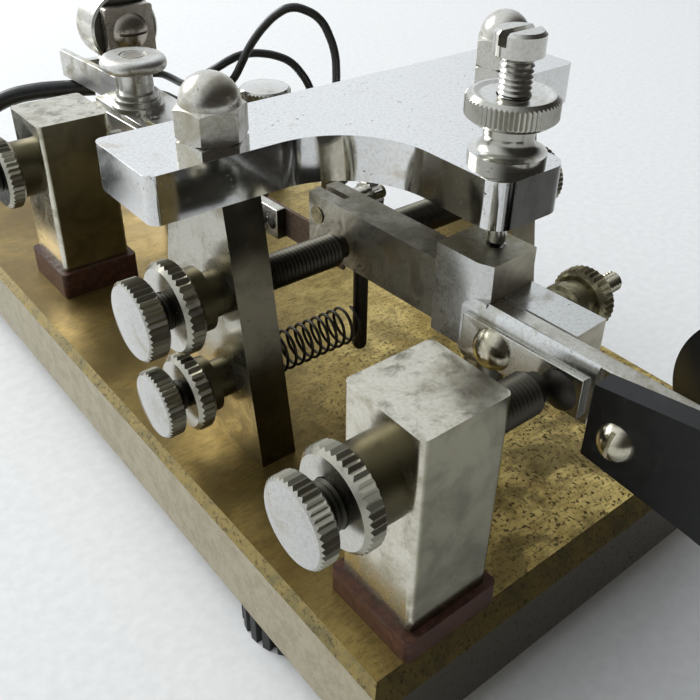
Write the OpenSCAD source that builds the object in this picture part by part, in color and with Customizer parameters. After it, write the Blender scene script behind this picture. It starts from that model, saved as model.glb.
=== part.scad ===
// Semi-automatic telegraph key on a brass base, with its lead and plug.
// Millimetres, +Z up, +Y away from the operator, origin under the middle of the key.

/* [Base] */
// base plate width
base_w = 76; // [70:0.5:90]
// base plate length
base_l = 165; // [165:1:180]
// base plate thickness
base_t = 13.2; // [10:0.1:18]
// bevel along the long top edges
side_bevel = 1.2; // [0.4:0.1:2]
// bevel along the front top edge
front_bevel = 2.3; // [0.5:0.1:3]
// rubber foot radius
foot_r = 8.5; // [7:0.1:9]
// rubber foot height
foot_h = 5.3; // [4:0.1:8]
// number of ribs round a foot
foot_ribs = 22; // [16:1:30]
// depth of the grooves in a foot
foot_groove = 0.9; // [0.3:0.1:1.2]
// foot centre, distance in from the base's side
foot_in = 8.5; // [8.5:0.1:10]
// front feet, distance from the front edge
foot_front_y = 28; // [27:0.5:29]
// rear feet, distance from the front edge
foot_rear_y = 141; // [139:0.5:144]
// screw shank radius under posts and feet
fix_r = 1.8; // [1.4:0.1:1.9]
// screw head radius under posts and feet
fix_head_r = 3.4; // [3:0.1:3.8]
// screw head height under posts and feet
fix_head_t = 2.4; // [1.6:0.1:3]
// depth of screw thread in a post
fix_bite = 7; // [5:0.5:8]

/* [Pillars and bridge] */
// middle of the left pillar, distance from the middle line
pillar_x = 24.8; // [23:0.1:27]
// middle of the right pillar, distance from the middle line
pillar_right_x = 27.6; // [26.8:0.1:28]
// pillar thickness
pillar_t = 5.7; // [5:0.1:7]
// pillar front edge at the foot
pillar_front_low = 39.2; // [37:0.1:41]
// pillar front edge at the top
pillar_front_high = 45.2; // [44:0.1:46]
// pillar back edge at the foot
pillar_back_low = 67.6; // [66:0.1:70]
// pillar back edge at the top
pillar_back_high = 58.8; // [58:0.1:60]
// pillar height
pillar_h = 39.7; // [38:0.1:44]
// bridge half span
bridge_half = 37.4; // [36:0.1:40]
// bridge front edge of the cross bar
bridge_front = 44.5; // [43.5:0.1:45]
// bridge back edge of the cross bar
bridge_back = 58.7; // [58:0.1:61]
// bridge thickness
bridge_t = 6.3; // [5:0.1:8]
// bridge front arm width
arm_w = 12.2; // [11:0.1:13.5]
// bridge front arm end
arm_end_y = 19.1; // [17:0.1:20]
// radius where the arm meets the cross bar
arm_fillet = 13; // [8:0.5:15]
// rounding of the bridge corners
bridge_round = 1.4; // [0.6:0.1:2.5]
// rounding of the bridge arm's front corners
arm_round = 2.8; // [1.5:0.1:4]
// stud radius through the bridge
stud_r = 2; // [1.6:0.1:2.2]
// distance of a stud from the front edge of the base
stud_y = 51.2; // [50.5:0.1:52]
// acorn nut radius across corners
acorn_r = 4.7; // [4.4:0.1:5.4]
// acorn nut hexagon height
acorn_hex_h = 4.3; // [3.6:0.1:5]
// acorn nut dome radius
acorn_dome_r = 3.9; // [3.2:0.1:4]

/* [Contact posts] */
// contact post width
post_w = 12.6; // [12:0.1:13]
// contact post height above its pad
post_h = 27.8; // [27:0.1:32]
// rounding of the post corners
post_round = 0.9; // [0.4:0.1:2]
// insulating pad thickness
pad_t = 4.9; // [3:0.1:6]
// insulating pad thickness under the dash post
dash_pad_t = 3.7; // [3:0.1:4.9]
// pad width beyond the post
pad_over = 1; // [0.5:0.1:1.6]
// dash post centre, distance left of the middle line
dash_post_x = 25.5; // [25:0.1:26]
// dash post centre, distance from the front edge
dash_post_y = 9.1; // [8.8:0.1:9.6]
// dot post centre, distance left of the middle line
dot_post_x = 24.1; // [23.5:0.1:25]
// dot post centre, distance from the front edge
dot_post_y = 106.1; // [105:0.1:108]
// contact screw axis height above the base
contact_z = 23.7; // [23:0.1:24.2]

/* [Thumb screws] */
// thread pitch
thread_pitch = 0.65; // [0.5:0.05:1.2]
// thread depth
thread_depth = 0.3; // [0.2:0.05:0.5]
// stop screw thread radius
stop_thread_r = 2.6; // [2:0.1:2.8]
// stop screw axis height above the base
stop_z = 24.3; // [23.5:0.1:25]
// distance of the stop screws from the front edge
stop_y = 50; // [49.5:0.1:50.5]
// stop screw head radius
stop_head_r = 5.6; // [5:0.1:6]
// stop screw head thickness
stop_head_t = 3.6; // [3:0.1:4]
// stop screw head face, distance from the middle line
stop_face_x = 40.2; // [39.6:0.1:41]
// stop screw gap at the lever
stop_gap = 0.85; // [0.8:0.05:1.2]
// stop lock nut radius
stop_nut_r = 6.6; // [6:0.1:7]
// tension screw thread radius
tension_thread_r = 2.2; // [1.8:0.1:2.4]
// tension screw axis height above the base
tension_z = 9.8; // [9.6:0.1:10.2]
// tension screw head radius
tension_head_r = 5.1; // [4.6:0.1:5.4]
// tension screw head face, distance from the middle line
tension_face_x = 38.8; // [38.4:0.1:39.4]
// tension lock nut radius
tension_nut_r = 5.8; // [5.2:0.1:6]
// contact screw thread radius
contact_thread_r = 2.9; // [2.4:0.1:3.1]
// contact screw head radius
contact_head_r = 5.2; // [4.8:0.1:5.8]
// contact screw head thickness
contact_head_t = 3; // [2.6:0.1:3.4]
// dash screw head face, distance from the middle line
dash_face_x = 43.5; // [43.2:0.1:44.5]
// contact lock nut radius
contact_nut_r = 6.2; // [5.6:0.1:6.6]
// contact screw point radius
contact_tip_r = 2.1; // [1.6:0.1:2.2]
// contact screw point length
contact_tip_l = 1.4; // [1:0.1:4]
// gap at the dash contact
dash_gap = 0.45; // [0.4:0.05:0.8]
// gap at the dot contact
dot_gap = 3.1; // [3.1:0.1:3.6]
// lock nut rim thickness
nut_t = 2.9; // [2.4:0.1:3.2]
// wall of a lock nut's collar
hub_wall = 2; // [1.6:0.1:2.4]
// wall of the neck behind the collar
neck_wall = 0.7; // [0.6:0.1:1.2]
// length of that neck on the left stop nut and the tension nut
neck_l = 1.7; // [1:0.1:2]
// knurl depth
knurl_depth = 0.3; // [0.2:0.05:0.5]
// teeth round a large knurl
knurl_teeth = 40; // [32:1:46]
// teeth round a small knurl
knurl_teeth_small = 34; // [28:1:40]
// teeth round the pivot lock nut
knurl_teeth_fine = 56; // [48:1:60]
// rise of the crowned faces of the thumb screws
head_crown = 0.5; // [0.3:0.1:0.7]
// chamfer of the thumb screws' heads
head_edge = 0.45; // [0.3:0.05:0.6]

/* [Pivot] */
// lever's origin, distance from the front edge
pivot_y = 23.9; // [23.7:0.1:24.2]
// swing axis, distance right of the lever's middle
axis_u = 0.9; // [0:0.1:1.1]
// swing axis, distance behind the lever's origin
axis_v = 1; // [0:0.1:1.4]
// turn of the lever seen from above
lever_yaw = 2.8; // [2.6:0.1:3]
// top pivot screw thread radius
pivot_thread_r = 2.05; // [1.6:0.05:2.1]
// top pivot screw head radius
pivot_head_r = 3.05; // [2.6:0.05:3.6]
// top pivot screw head height
pivot_head_h = 2.8; // [2.4:0.1:4]
// top pivot screw, radius of the plain pin below the bridge
pivot_pin_r = 1.2; // [1:0.05:1.3]
// top of the pivot screw above the bridge
pivot_rise = 15.4; // [15:0.1:18]
// pivot lock nut rim radius
pivot_nut_r = 5.75; // [5:0.05:6.2]
// pivot lock nut rim thickness
pivot_rim_t = 3.3; // [2.6:0.1:3.6]
// pivot lock nut flange radius
pivot_flange_r = 4.9; // [4.8:0.1:5.6]
// pivot lock nut neck radius
pivot_neck_r = 3.2; // [2.8:0.1:3.6]
// lower pivot stem radius
pivot_stem_r = 3.4; // [2.6:0.1:3.8]

/* [Lever] */
// underside of the lever above the base
lever_z = 20.4; // [20:0.1:21]
// lever bar width
bar_w = 5.8; // [5.4:0.1:6.2]
// lever bar height
bar_h = 9.5; // [9:0.1:10]
// lever bar end behind the pivot
bar_end = 35.3; // [35:0.1:36]
// pivot block left side
block_left = 4.75; // [4.6:0.05:4.9]
// pivot block right side
block_right = 4.3; // [4:0.1:4.4]
// pivot block front behind the cheeks
block_front = 3.1; // [3:0.1:3.3]
// pivot block back
block_back = 6.2; // [6:0.1:6.6]
// depth of the bevel at the left front corner of the pivot block
block_bevel = 0.8; // [0.4:0.1:1]
// length of the bevel at the left front corner of the pivot block
block_bevel_l = 2.6; // [2:0.1:3]
// pivot block height
block_h = 13.5; // [13.2:0.1:14]
// cheek height
cheek_h = 8.3; // [7.8:0.1:8.6]
// left cheek outer side
cheek_out = 5.3; // [5.2:0.05:5.5]
// left cheek inner side
cheek_in = 4.35; // [4.3:0.05:4.5]
// left cheek length
cheek_left_l = 20.5; // [20:0.1:20.8]
// right cheek length
cheek_right_l = 15; // [14:0.1:16]
// right cheek outer side
cheek_right = 4.4; // [4.4:0.1:4.8]
// finger arm thickness
finger_t = 2.7; // [2.4:0.1:2.8]
// finger arm end in front of the pivot
finger_l = 43; // [42:0.1:44]
// contact strip thickness
strip_t = 0.9; // [0.7:0.1:1.1]
// contact strip height
strip_h = 5.8; // [5.4:0.1:6.2]
// contact strip end in front of the pivot
strip_l = 19.7; // [19:0.1:20]
// contact dome radius
button_r = 2.7; // [2:0.1:2.8]
// contact dome centre ahead of the screw axis
button_ahead = 2; // [0:0.1:2.2]
// contact dome height
button_h = 1; // [0.7:0.1:1.2]
// arm screw shank radius
arm_screw_r = 1.5; // [1.4:0.1:1.9]
// arm screw distance in front of the pivot
arm_screw_v = 5.9; // [5.6:0.1:6.4]
// arm screw height above the base
arm_screw_z = 23.9; // [23.6:0.1:24.4]
// arm screw head radius
arm_head_r = 3; // [2.4:0.1:3.1]
// arm nut rim radius
arm_nut_r = 4.6; // [3.6:0.1:4.6]
// arm nut rim distance from the lever line
arm_nut_u = 11.6; // [11:0.1:12]
// clamp screw radius
clamp_r = 1.4; // [1.2:0.1:1.6]
// clamp screw distance behind the pivot
clamp_v = 33.2; // [33:0.1:33.4]
// clamp screw height above the base
clamp_z = 26.6; // [26:0.1:26.8]
// spring pin radius
pin_r = 1.2; // [1:0.1:1.4]
// spring pin lower end above the base
pin_low_z = 5; // [4.4:0.1:5.6]

/* [Finger pieces] */
// thumb paddle thickness
paddle_t = 3.2; // [2.8:0.1:4]
// thumb paddle rear edge in front of the pivot
paddle_rear = 21.9; // [21.4:0.1:22.6]
// thumb paddle round end centre in front of the pivot
paddle_round_v = 39; // [38:0.5:40]
// thumb paddle round end radius
paddle_round_r = 7.4; // [7:0.1:8]
// thumb paddle height at the rear edge
paddle_rear_h = 10.4; // [9.8:0.1:11]
// thumb paddle middle height above the base
paddle_z = 23.3; // [23:0.1:24.4]
// paddle screw head radius
paddle_head_r = 2.5; // [2:0.1:2.8]
// paddle screw distance in front of the pivot
paddle_screw_v = 25.9; // [25.6:0.1:26.4]
// finger knob rim radius
knob_r = 11.2; // [10:0.1:12]
// finger knob middle height above the base
knob_z = 25; // [24.6:0.1:25.4]
// finger knob stem radius
knob_stem_r = 4; // [3.6:0.1:4.2]
// finger knob centre in front of the pivot
knob_v = 34.8; // [34.4:0.1:36]
// finger knob rim distance from the lever line
knob_rim_u = 7; // [6.5:0.1:8]
// finger knob rim thickness
knob_rim_t = 3; // [2.4:0.1:3.6]

/* [Return spring] */
// spring coil mean radius
coil_r = 2.9; // [2.7:0.05:3.1]
// spring wire radius
wire_r = 0.25; // [0.22:0.01:0.28]
// number of coils
coil_turns = 11; // [9:1:12]

/* [Pendulum] */
// flat spring thickness
flat_t = 0.6; // [0.5:0.05:0.7]
// flat spring height
flat_h = 5.2; // [4.8:0.1:5.4]
// pendulum strip thickness
strip_bar_t = 1.8; // [1.6:0.1:2]
// pendulum strip height
strip_bar_h = 5.5; // [5.2:0.1:5.6]
// pendulum strip lower edge above the base
strip_bar_z = 16.9; // [16.8:0.1:17]
// pendulum strip start behind the pivot
strip_start = 45; // [44.8:0.1:45.4]
// pendulum strip end behind the pivot
strip_end = 110.2; // [109.6:0.1:110.6]
// speed weight radius
weight_r = 5.8; // [5.4:0.1:6.2]
// speed weight length
weight_l = 11; // [10:0.1:11.4]
// speed weight middle behind the pivot
weight_v = 62; // [61.8:0.1:62.2]
// weight screw head radius
weight_head_r = 3; // [2.6:0.1:3.4]

/* [Damper] */
// damper plate height above the base
plate_z = 17.5; // [17.3:0.1:17.7]
// damper plate thickness
plate_t = 2; // [1.6:0.1:2]
// damper plate left edge from the middle line
plate_left = 1.9; // [1.8:0.1:2.1]
// damper plate width
plate_w = 14; // [13:0.1:15]
// damper plate front edge
plate_front = 114; // [113:0.5:116]
// damper plate back edge
plate_back = 144.4; // [144.2:0.1:145]
// damper knob centre from the front edge
damper_knob_y = 133; // [132.8:0.1:133.1]
// damper knob rim radius
damper_knob_r = 7; // [6.4:0.1:7.2]
// damper disc radius
disc_r = 8.15; // [7.8:0.05:8.4]
// damper disc height above the base
disc_z = 30; // [29.6:0.1:30.6]
// damper disc thickness
disc_t = 9; // [8:0.1:9]
// damper arm thickness
damper_arm_t = 1.6; // [1.4:0.1:1.8]
// damper arm height
damper_arm_h = 6.2; // [5.8:0.1:6.4]

/* [Terminals and lead] */
// terminals, distance right of the middle line
terminal_x = 28.8; // [28.5:0.1:29]
// rear terminal from the front edge
terminal_rear_y = 122.4; // [122.1:0.1:122.7]
// front terminal from the front edge
terminal_front_y = 98; // [97.6:0.1:98.4]
// terminal nut rim radius
terminal_r = 5.9; // [5.4:0.1:6.1]
// terminal nut top above the base
terminal_top = 22; // [21.5:0.1:23]
// lead cable radius
cord_r = 2; // [1.9:0.05:2.1]
// single wire radius
lead_r = 0.9; // [0.8:0.05:0.95]
// turns of the cable coil, an odd number of quarters
cable_turns = 6.25; // [5.25:1:6.25]
// cable coil outer radius
coil_out = 32.5; // [32:0.5:34]
// cable coil spacing of the turns
coil_step = 4.8; // [4.7:0.1:4.9]
// plug sleeve radius
jack_r = 3.175; // [2.5:0.005:3.5]
// plug grip radius
jack_grip_r = 5.6; // [5:0.1:7]
// plug grip length
jack_grip_l = 26; // [20:1:34]

/* [Hidden] */
// clearance of a fixed pin in its hole
fixed_gap = 0.03;
// running clearance of a turning screw
turn_gap = 0.06;
// clearance of parts that swing
swing_gap = 0.3;
// feet, distance from the middle line
foot_x = base_w / 2 - foot_in;
// height of the base top above the table
top_z = base_t + foot_h;
// front end of the paddle beside the rotated lever
paddle_out_u = cheek_in - fixed_gap + paddle_t;
paddle_front = pivot_y - paddle_out_u * sin(lever_yaw)
             - (paddle_round_v + paddle_round_r) * cos(lever_yaw);
knob_front = pivot_y + (knob_rim_u + 0.8) * sin(lever_yaw) - (knob_v + knob_r) * cos(lever_yaw);
front_y = min(paddle_front, knob_front);
// middle of the key on the table
mid_x = (stop_face_x - dash_face_x) / 2;
mid_y = (front_y + base_l) / 2;
// swing axis on the base
axis_x = axis_u * cos(lever_yaw) - axis_v * sin(lever_yaw);
axis_y = pivot_y + axis_u * sin(lever_yaw) + axis_v * cos(lever_yaw);
// derived heights
paddle_screw_z = paddle_z - 0.9;
bridge_z = pillar_h + bridge_t;
pivot_top_z = bridge_z + pivot_rise;
block_top_z = lever_z + block_h;
cheek_z = lever_z + cheek_h;
finger_left = cheek_in - fixed_gap;
finger_right = finger_left - finger_t;
strip_out = cheek_out + strip_t;
// where the lever's sides stand at the stop screws
stop_v = (stop_y - pivot_y) / cos(lever_yaw);
lever_left_x = -bar_w / 2 / cos(lever_yaw) - (stop_y - pivot_y) * tan(lever_yaw);
lever_right_x = bar_w / 2 / cos(lever_yaw) - (stop_y - pivot_y) * tan(lever_yaw);
// left side of the contact strip and of the pendulum at the contact posts
dot_button_h = 1.4;
dot_leaf_t = 0.5;
strip_bar_left = flat_t / 2 + strip_bar_t;
dash_v = (dash_post_y - pivot_y + strip_out * sin(lever_yaw)) / cos(lever_yaw);
dot_v = (dot_post_y - pivot_y + strip_bar_left * sin(lever_yaw)) / cos(lever_yaw);
dash_dome_x = -(strip_out + button_h) * cos(lever_yaw) - dash_v * sin(lever_yaw);
dot_dome_x = -(strip_bar_left + dot_leaf_t + dot_button_h) * cos(lever_yaw) - dot_v * sin(lever_yaw);
pin_x = -stop_v * sin(lever_yaw);
pillar_out = pillar_x + pillar_t / 2;
spring_left = -20.6;
spring_right = pin_x - pin_r - wire_r - 0.1;
dot_face_x = dot_post_x + dash_face_x - dash_post_x;
damper_x = 3;
disc_x = 11.6;
disc_front = 153.6;
damper_arm_near = [1.05, 139];
damper_arm_far = [-0.74, 164.9];
damper_arm_z = plate_z + 1;
upright_t = 2;
spacer_left = 4.8;
spacer_w = 10.8;
spacer_l = 27;
spacer_front = plate_back - spacer_l - 0.4;
damper_fix_front = spacer_front + 5;
damper_fix_rear = spacer_front + 20;
upright_y = damper_arm_far[1] - upright_t;
boss_t = 2.4;
boss_gap = 0.3;
boss_front = disc_front - boss_gap - boss_t;
strip_mid_z = strip_bar_z + strip_bar_h / 2;
flat_low = strip_mid_z - flat_h / 2;
floor_z = -top_z;
cord_floor = floor_z + cord_r;
$fn = 48;

// profile helpers

function polar(r, a) = [r * cos(a), r * sin(a)];

function knurl_points(r, depth, n) = [
  for (i = [0 : n - 1]) each [
    polar(r, i * 360 / n),
    polar(r - depth, (i + 0.5) * 360 / n)
  ]
];

function rib_points(r, depth, n) = [
  for (i = [0 : n - 1]) each [
    polar(r, i * 360 / n),
    polar(r, (i + 0.5) * 360 / n),
    polar(r - depth, (i + 0.6) * 360 / n),
    polar(r - depth, (i + 0.9) * 360 / n)
  ]
];

function thread_points(r, depth, pitch, n) = concat(
  [[0, 0]],
  [for (i = [0 : n - 1]) each [[r - depth, i * pitch], [r, (i + 0.5) * pitch]]],
  [[r - depth, n * pitch], [0, n * pitch]]
);

// moves the whole key so that its origin lies under its middle
module placed() {
  translate([-mid_x, -mid_y, top_z]) children();
}

// sets a piece on the turned lever, measured from the pivot axis
module on_lever() {
  placed() translate([0, pivot_y, 0]) rotate(lever_yaw) children();
}

module rounded_rect(w, d, r) {
  square([w - 2 * r, d], center = true);
  square([w, d - 2 * r], center = true);
  for (sx = [-1, 1], sy = [-1, 1])
    translate([sx * (w / 2 - r), sy * (d / 2 - r)]) circle(r);
}

module along_x() {
  rotate([0, 90, 0]) children();
}

module knurled_disc(r, t, n, edge = 0.75) {
  intersection() {
    linear_extrude(t) polygon(knurl_points(r, knurl_depth, n));
    rotate_extrude()
      polygon([[0, 0], [r - edge, 0], [r + 0.1, edge], [r + 0.1, t - edge], [r - edge, t], [0, t]]);
  }
}

module threaded_rod(r, length) {
  turns = floor(length / thread_pitch);
  rotate_extrude()
    polygon(thread_points(r, thread_depth, thread_pitch, turns));
  translate([0, 0, turns * thread_pitch - 0.01])
    cylinder(r = r - thread_depth, h = length - turns * thread_pitch + 0.01);
}

// cap of a ball along z, its middle at zero
module crown_cap(r, h) {
  big = (r * r + h * h) / (2 * h);
  intersection() {
    translate([0, 0, big]) sphere(big);
    cylinder(r = r, h = h + 0.3);
  }
}

// thumb screw along z, the middle of its crowned face at zero
module thumb_screw(head_r, head_t, rod_r, tip_r, tip_l, length, teeth) {
  translate([0, 0, head_crown]) knurled_disc(head_r, head_t - head_crown, teeth, head_edge);
  crown_cap(head_r - head_edge - 0.05, head_crown);
  translate([0, 0, head_t - 0.01]) threaded_rod(rod_r, length - head_t - tip_l + 0.01);
  translate([0, 0, length - tip_l - 0.05]) cylinder(r = tip_r, h = tip_l + 0.05);
}

// lock nut along z, its knurled rim first, then a collar that ends in a narrower neck
module lock_nut(rim_r, total, neck_l, rod_r, teeth) {
  difference() {
    union() {
      knurled_disc(rim_r, nut_t, teeth);
      translate([0, 0, nut_t - 0.01])
        cylinder(r = rod_r + hub_wall, h = total - nut_t - neck_l + 0.01);
      translate([0, 0, total / 2]) cylinder(r = rod_r + neck_wall, h = total / 2);
    }
    translate([0, 0, -1]) cylinder(r = rod_r + turn_gap, h = total + 2);
  }
}

module slotted_dome(r, h) {
  big = (r * r + h * h) / (2 * h);
  difference() {
    intersection() {
      translate([0, 0, h - big]) sphere(big);
      cylinder(r = r + 0.1, h = h + 1);
    }
    translate([-r - 1, -0.3, h * 0.45]) cube([2 * r + 2, 0.6, h]);
  }
}

// tube helpers

function unit(v) = v / norm(v);

function tangent_at(p, i) = unit(p[min(i + 1, len(p) - 1)] - p[max(i - 1, 0)]);

function side_at(t) = unit(cross(abs(t[2]) > 0.9 ? [1, 0, 0] : [0, 0, 1], t));

function ring_points(p, i, r, n) =
  let (t = tangent_at(p, i), s = side_at(t), u = cross(t, s))
  [for (k = [0 : n - 1]) p[i] + r * (cos(360 * k / n) * s + sin(360 * k / n) * u)];

function curve_point(a, b, c, d, t) =
  0.5 * ((2 * b) + (c - a) * t + (2 * a - 5 * b + 4 * c - d) * t * t
  + (3 * b - a - 3 * c + d) * t * t * t);

function smooth(p, steps) = [
  for (i = [0 : len(p) - 2], k = [0 : steps - 1])
    curve_point(p[max(i - 1, 0)], p[i], p[i + 1], p[min(i + 2, len(p) - 1)], k / steps),
  p[len(p) - 1]
];

module tube(p, r, n) {
  m = len(p);
  points = [for (i = [0 : m - 1]) each ring_points(p, i, r, n)];
  sides = [for (i = [0 : m - 2], k = [0 : n - 1])
    [i * n + k, i * n + (k + 1) % n, (i + 1) * n + (k + 1) % n, (i + 1) * n + k]];
  first = [for (k = [0 : n - 1]) n - 1 - k];
  last = [for (k = [0 : n - 1]) (m - 1) * n + k];
  polyhedron(points, concat([first], sides, [last]), convexity = 10);
}

function least_gap(p, r, apart) = min([
  for (i = [0 : len(p) - 1], j = [i + apart : 1 : len(p) - 1]) norm(p[i] - p[j])
]) - 2 * r;

// return spring line along x, with straight ends
spring_n = coil_turns * 8;
spring_points = concat(
  [[spring_left, stop_y, tension_z + coil_r - 0.6]],
  [for (i = [0 : spring_n])
    [spring_left + 0.6 + (spring_right - spring_left - 1.2) * i / spring_n,
     stop_y + coil_r * sin(360 * i / 8), tension_z + coil_r * cos(360 * i / 8)]],
  [[spring_right, stop_y, tension_z + coil_r - 0.6]]
);

// cable coil, in on the table and out on the layer above
coil_centre = [-60, 196];
coil_lift = 2 * cord_r + 0.6;
coil_total = 360 * cable_turns;
coil_middle = coil_total / 2;
function coil_radius(a) = coil_out - coil_step * min(a, coil_total - a) / 360;
function coil_height(a) =
  a < coil_middle - 90 ? 0
  : a < coil_middle + 90 ? coil_lift * (1 + sin(a - coil_middle)) / 2
  : coil_lift;
function coil_point(a) =
  let (q = polar(coil_radius(a), -90 - a))
  [coil_centre[0] + q[0], coil_centre[1] + q[1], cord_floor + coil_height(a)];
coil_path = [for (a = [0 : 15 : coil_total]) coil_point(a)];
coil_start = coil_path[0];
coil_end = coil_path[len(coil_path) - 1];
coil_line = concat([coil_start + [2 * cord_r, 0, 0]], coil_path, [coil_end + [0, 2 * cord_r, 0]]);

// route of the cable from the key to the coil
split_at = [4.4, 159.6, 16.1];
cord_route = [
  split_at + [-1.3, 0.6, 0], [-3.2, 163, 16.1], [-9, 166, 15.6], [-15.6, 168.6, 13.8],
  [-24, 170, 8.5], [-33, 169.6, 0],
  [-40.6, 167.4, -7.4], [-45, 164.6, -11], [-49.5, 163.4, -14.4], coil_start + [2 * cord_r + 2.6, 0, 0.1],
  coil_start + [2 * cord_r + 0.5, 0, 0]
];
cord_line = smooth(cord_route, 2);

// routes of the two wires to the terminals
rear_route = [
  split_at + [0.5, 1, 0.3], [8, 158.4, 17.4], [14, 155, 18.6], [18, 152, 18.9],
  [18.8, 147, 18.9], [18.4, 142, 19.3], [17.6, 136, 21], [17.4, 130.5, 24], [19.8, 126.5, 27],
  [24.6, 125.6, 28.8], [29.4, 123.6, 29], [34.3, 120, 27.2], [37, 116.6, 22], [38, 116.2, 15.5],
  [37.6, 118.6, 10.4], [35.6, 121.6, 7.9], [terminal_x + 4, terminal_rear_y, 7.2],
  [terminal_x + 2.2 + lead_r, terminal_rear_y, 7.2]
];
front_route = [
  split_at + [0.5, -1.1, -0.2], [8.4, 155.6, 15.6], [13.4, 151, 15.6], [16.2, 146, 15.6],
  [16.8, 141, 15.6], [18.4, 135, 17], [21, 129.4, 20.4], [22.2, 124, 25], [24.4, 121.6, 31],
  [27.5, 119, 36.5], [31.4, 115, 40.4], [36.1, 111, 38.1], [37.8, 108, 31.1], [36.6, 106, 24],
  [34.9, 102, 15], [33.6, 99, 9], [terminal_x + 4, terminal_front_y, 7.2],
  [terminal_x + 2.2 + lead_r, terminal_front_y, 7.2]
];

// cable end beyond the coil and the plug
jack_at = coil_end + [20.6, 20.4, cord_r + jack_grip_r + 0.2];
tail_route = [
  coil_end + [0, 2 * cord_r, 0], coil_end + [1.6, 10.5, 2.2], coil_end + [6.3, 16.6, 5],
  coil_end + [12.8, 19.8, 7.2], jack_at - [2, 0, 0], jack_at - [0.3, 0, 0]
];
tail_line = smooth(tail_route, 3);

module base_plate() {
  color("goldenrod") placed() difference() {
    intersection() {
      translate([0, base_l, 0]) rotate([90, 0, 0]) linear_extrude(base_l) polygon([
        [-base_w / 2, -base_t], [base_w / 2, -base_t], [base_w / 2, -side_bevel],
        [base_w / 2 - side_bevel, 0], [-base_w / 2 + side_bevel, 0], [-base_w / 2, -side_bevel]]);
      translate([-base_w / 2, 0, 0]) rotate([90, 0, 90]) linear_extrude(base_w) polygon([
        [0, -base_t], [base_l, -base_t], [base_l, -side_bevel], [base_l - side_bevel, 0],
        [front_bevel, 0], [0, -front_bevel]]);
    }
    for (p = fix_places) translate([p[0], p[1], -base_t - 1]) {
      cylinder(r = fix_r + fixed_gap, h = base_t + 2);
      cylinder(r = fix_head_r + 0.3, h = fix_head_t + 1.6);
    }
    for (p = bush_places) translate([p[0], p[1], -base_t - 1]) {
      cylinder(r = bush_r + fixed_gap, h = base_t + 2);
      cylinder(r = fix_head_r + 0.3, h = fix_head_t + 1.6 + bush_flange);
    }
    for (p = foot_places) translate([p[0], p[1], -base_t - 0.01])
      cylinder(r = fix_r + fixed_gap, h = foot_bite + 0.3);
  }
}

bush_places = [[-dash_post_x, dash_post_y], [-dot_post_x, dot_post_y]];
fix_places = [
  [-pillar_x, 46], [-pillar_x, 61], [pillar_right_x, 46], [pillar_right_x, 61],
  [axis_x, axis_y], [damper_x + 3, damper_fix_front], [damper_x + 3, damper_fix_rear],
  [terminal_x, terminal_rear_y], [terminal_x, terminal_front_y]
];
foot_places = [
  [-foot_x, foot_front_y], [foot_x, foot_front_y], [-foot_x, foot_rear_y], [foot_x, foot_rear_y]
];
foot_bite = 8;
bush_r = fix_r + 1.4;
bush_flange = 1;

module rubber_feet() {
  color("dimgray") placed() for (p = foot_places) translate([p[0], p[1], floor_z]) difference() {
    linear_extrude(foot_h) polygon(rib_points(foot_r, foot_groove, foot_ribs));
    translate([0, 0, -1]) cylinder(r = fix_r + fixed_gap, h = foot_h + 2);
    translate([0, 0, -0.01]) cylinder(r = fix_head_r + 0.3, h = fix_head_t + 0.61);
  }
}

module foot_screws() {
  color("gray") placed() for (p = foot_places) translate([p[0], p[1], floor_z + 0.6]) {
    cylinder(r = fix_head_r, h = fix_head_t);
    cylinder(r = fix_r, h = foot_h - 0.6 + foot_bite);
  }
}

module base_screws() {
  color("gray") placed() for (p = concat(fix_places, bush_places))
    translate([p[0], p[1], -base_t + 0.6]) {
      cylinder(r = fix_head_r, h = fix_head_t);
      cylinder(r = fix_r, h = base_t - 0.6 + fix_depth(p));
    }
}

function fix_depth(p) = p[0] == -dash_post_x ? dash_pad_t + fix_bite
  : p[0] == -dot_post_x ? pad_t + fix_bite : fix_bite;

module post_bushes() {
  color("saddlebrown") placed() for (p = bush_places)
    translate([p[0], p[1], -base_t + 0.6 + fix_head_t]) difference() {
      union() {
        cylinder(r = bush_r, h = base_t - 0.6 - fix_head_t);
        cylinder(r = fix_head_r + 0.2, h = bush_flange);
      }
      translate([0, 0, -1]) cylinder(r = fix_r + fixed_gap, h = base_t + 2);
    }
}

function side_x(s) = s < 0 ? -pillar_x : pillar_right_x;

module pillar(s) {
  difference() {
    translate([side_x(s) - pillar_t / 2, 0, 0]) rotate([90, 0, 90])
      linear_extrude(pillar_t) polygon([
        [pillar_front_low, 0], [pillar_back_low, 0],
        [pillar_back_high, pillar_h], [pillar_front_high, pillar_h]]);
    translate([side_x(s) - pillar_t, stop_y, stop_z]) along_x()
      cylinder(r = stop_thread_r + turn_gap, h = pillar_t * 2);
    if (s < 0) translate([side_x(s) - pillar_t, stop_y, tension_z]) along_x()
      cylinder(r = tension_thread_r + turn_gap, h = pillar_t * 2);
    translate([side_x(s), stud_y, pillar_h - 10]) cylinder(r = stud_r + fixed_gap, h = 11);
    for (y = [46, 61]) translate([side_x(s), y, -1])
      cylinder(r = fix_r + fixed_gap, h = fix_bite + 1.3);
  }
}

module left_pillar() {
  color("silver") placed() pillar(-1);
}

module right_pillar() {
  color("silver") placed() pillar(1);
}

module bridge_studs() {
  color("gray") placed() for (s = [-1, 1])
    translate([side_x(s), stud_y, pillar_h - 9.7]) cylinder(r = stud_r, h = 9.7 + bridge_t + 4);
}

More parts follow.
